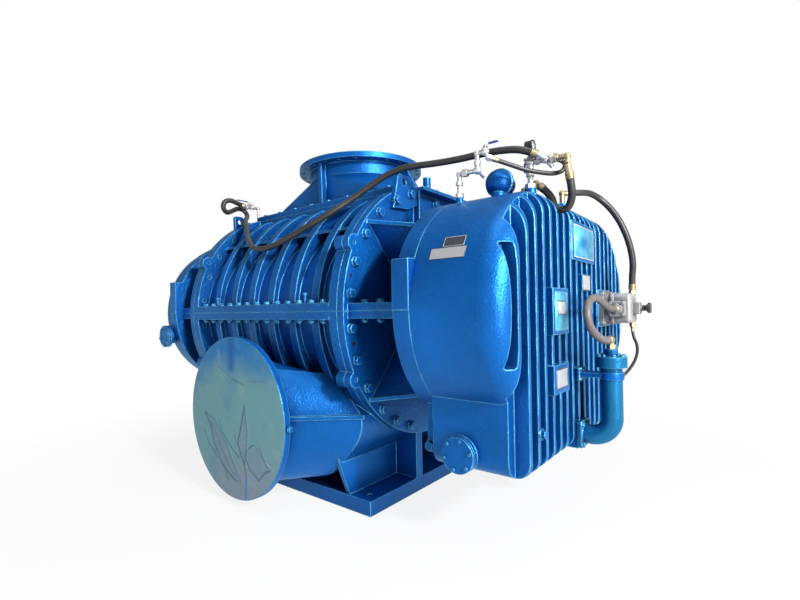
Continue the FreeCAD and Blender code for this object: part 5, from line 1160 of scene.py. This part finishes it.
class BLOWER_OT_plates(bpy.types.Operator):
    """Makes the blank plates on the case: bare, blackened and painted over, with their frames and pins"""
    bl_idname = "blower.plates"
    bl_label = "Plates"

    def execute(self, context):
        trim, paint = context.scene.blower_trim, context.scene.blower_paint
        bare = steel("bare plate", list(trim.plate), 0.36, 0.75)
        black = moulded("black plate", list(trim.dark_plate), 0.3)
        painted = enamel("painted plate", [0.02, 0.20, 0.52], list(paint.deep), list(paint.pale), 0.0, 0.3)
        x = CASE_END
        crown, tall, rating, tag = PLATES
        self.sheets("rating_plates", bare, [(rating, x, PLATE_THICK), (tag, x, PLATE_THICK)])
        self.sheets("painted_plates", painted, [(crown, x, PLATE_THICK), (tall, x, PLATE_THICK)])
        self.sheets("maker_label", bare, [(LABEL, x + PLATE_THICK, LABEL_THICK)])
        for look, place, finish in (("bare", FLANK_BARE, bare), ("black", FLANK_BLACK, black)):
            skin = bmesh.new()
            add_skin(skin, *place, 0.0, SKIN_THICK)
            finish_piece("flank_plate_" + look, skin, finish, "casing", 30.0)
        self.frames(bare, black)
        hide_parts("case_plates")
        return {"FINISHED"}

    def sheets(self, name, finish, places):
        mesh = bmesh.new()
        for (y0, y1, z0, z1), x, thick in places:
            add_box(mesh, (x, y0, z0), (x + thick, y1, z1), 0.0003)
        return finish_piece(name, mesh, finish, "casing", 30.0)

    def border(self, place, wide):
        """The four strips just inside a plate's edges, as (left, right, foot, top)."""
        left, right, foot, top = place
        return ((left, right, foot, foot + wide), (left, right, top - wide, top),
                (left, left + wide, foot + wide, top - wide), (right - wide, right, foot + wide, top - wide))

    def frames(self, bare, black):
        """Raised borders and drive pins."""
        x = CASE_END + PLATE_THICK
        dark, light = bmesh.new(), bmesh.new()
        for place, mesh, start, wide in ((PLATES[0], light, x, 0.007), (PLATES[2], dark, x, 0.006),
                                         (PLATES[3], dark, x, 0.003), (LABEL, dark, x + LABEL_THICK, 0.005)):
            for a, b, c, d in self.border(place, wide):
                add_box(mesh, (start, a, c), (start + BORDER_RISE, b, d), 0.0002)
        for y0, y1, z0, z1 in PLATES:
            for y in (y0 + PIN_INSET, y1 - PIN_INSET):
                for z in (z0 + PIN_INSET, z1 - PIN_INSET):
                    add_lathe(light, [(0, 0), (0.0045, 0), (0.0042, 0.0012), (0.0028, 0.0024), (0, 0.003)],
                              Vector((x, y, z)), X_AXIS, 16)
        for place, mesh, wide in ((FLANK_BLACK, light, 0.003), (FLANK_BARE, dark, 0.002)):
            for strip in self.border(place, wide):
                add_skin(mesh, *strip, SKIN_THICK, FLANK_BORDER)
        finish_piece("plate_borders_dark", dark, black, "casing", 30.0)
        finish_piece("plate_borders_bright", light, bare, "casing", 30.0)


class BLOWER_OT_paint(bpy.types.Operator):
    """Paints the solids that keep their own shape"""
    bl_idname = "blower.paint"
    bl_label = "Paint"

    def execute(self, context):
        paint = context.scene.blower_paint
        blue, deep, pale = list(paint.blue), list(paint.deep), list(paint.pale)
        cast = enamel("cast iron enamel", blue, deep, pale, 0.55)
        smooth = enamel("smooth enamel", blue, deep, pale, 0.16)
        paint_nodes(cast, (
            "casing_lower", "casing_upper", "gear_cover_lower", "gear_cover_upper",
            "drive_cover_lower", "drive_cover_upper", "drive_plate", "drive_housing"))
        paint_nodes(smooth, (
            "base_frame", "inlet_hood", "outlet_duct", "lifting_lugs", "gear_plate", "gear_case",
            "case_bolts", "bolted_covers", "cover_screws", "plain_plugs", "breather", "filter_bracket"))
        paint_nodes(enamel("filter enamel", list(paint.teal), deep, pale, 0.16), ("filter_vessel",))
        paint_nodes(steel("machined iron", (0.34, 0.35, 0.36), 0.42), ("drive_rotor", "driven_rotor"))
        paint_nodes(steel("ground steel", (0.62, 0.63, 0.65), 0.22), (
            "drive_shaft", "driven_shaft", "drive_timing_gear", "driven_timing_gear", "drive_gear_nut",
            "driven_gear_nut", "drive_oil_slinger", "driven_oil_slinger", "bearing_outer_races",
            "drive_inner_rings", "driven_inner_rings"))
        paint_nodes(steel("seal bronze", (0.55, 0.40, 0.20), 0.3), ("shaft_seals",))
        paint_nodes(moulded("seal rubber", [0.02, 0.02, 0.02], 0.5), ("drive_lip_seal",))
        plated = steel("zinc plate", list(paint.plated), 0.24, 0.9)
        paint_nodes(plated, ("riser_valve_lever", "manifold_valve_lever", "lug_valve_lever"))
        paint_nodes(pipe_metal("plated pipework", list(paint.plated), list(paint.brass), 0.26, 1.748), (
            "pipe_riser", "manifold", "lug_valve_body"))
        paint_nodes(steel("dark turned steel", (0.13, 0.125, 0.125), 0.3), ("pump_adjuster",))
        paint_nodes(steel("brass fitting", list(paint.brass), 0.28), ("hose_fittings",))
        paint_nodes(cast_grey("cast pump grey", list(paint.pump)), ("oil_pump",))
        paint_nodes(moulded("gauge case black", [0.015, 0.015, 0.018], 0.3), ("gauge_body", "gauge_needle"))
        paint_nodes(clear_pane("gauge pane"), ("gauge_glass",))
        return {"FINISHED"}


class BLOWER_PT_panel(bpy.types.Panel):
    """Lists the pieces in the order they are made"""
    bl_idname = "BLOWER_PT_panel"
    bl_label = "Roots blower"
    bl_space_type = "VIEW_3D"
    bl_region_type = "UI"
    bl_category = "Blower"

    def draw(self, context):
        for step in STEPS:
            self.layout.operator(step.bl_idname)


SETTINGS = {
    "blower_stage": BlowerStage, "blower_paint": BlowerPaint, "blower_hoses": BlowerHoses,
    "blower_film": BlowerFilm, "blower_gauge": BlowerGauge, "blower_trim": BlowerTrim,
}
STEPS = (BLOWER_OT_stage, BLOWER_OT_paint, BLOWER_OT_hoses, BLOWER_OT_film, BLOWER_OT_gauge,
         BLOWER_OT_levers, BLOWER_OT_bolts, BLOWER_OT_plates)


def register():
    for kind in (*SETTINGS.values(), *STEPS, BLOWER_PT_panel):
        bpy.utils.register_class(kind)
    for name, kind in SETTINGS.items():
        setattr(bpy.types.Scene, name, PointerProperty(type=kind))


def unregister():
    for name in SETTINGS:
        delattr(bpy.types.Scene, name)
    for kind in reversed((*SETTINGS.values(), *STEPS, BLOWER_PT_panel)):
        bpy.utils.unregister_class(kind)


def main():
    register()
    for step in STEPS:
        group, name = step.bl_idname.split(".")
        getattr(getattr(bpy.ops, group), name)()


if __name__ == "__main__":
    main()
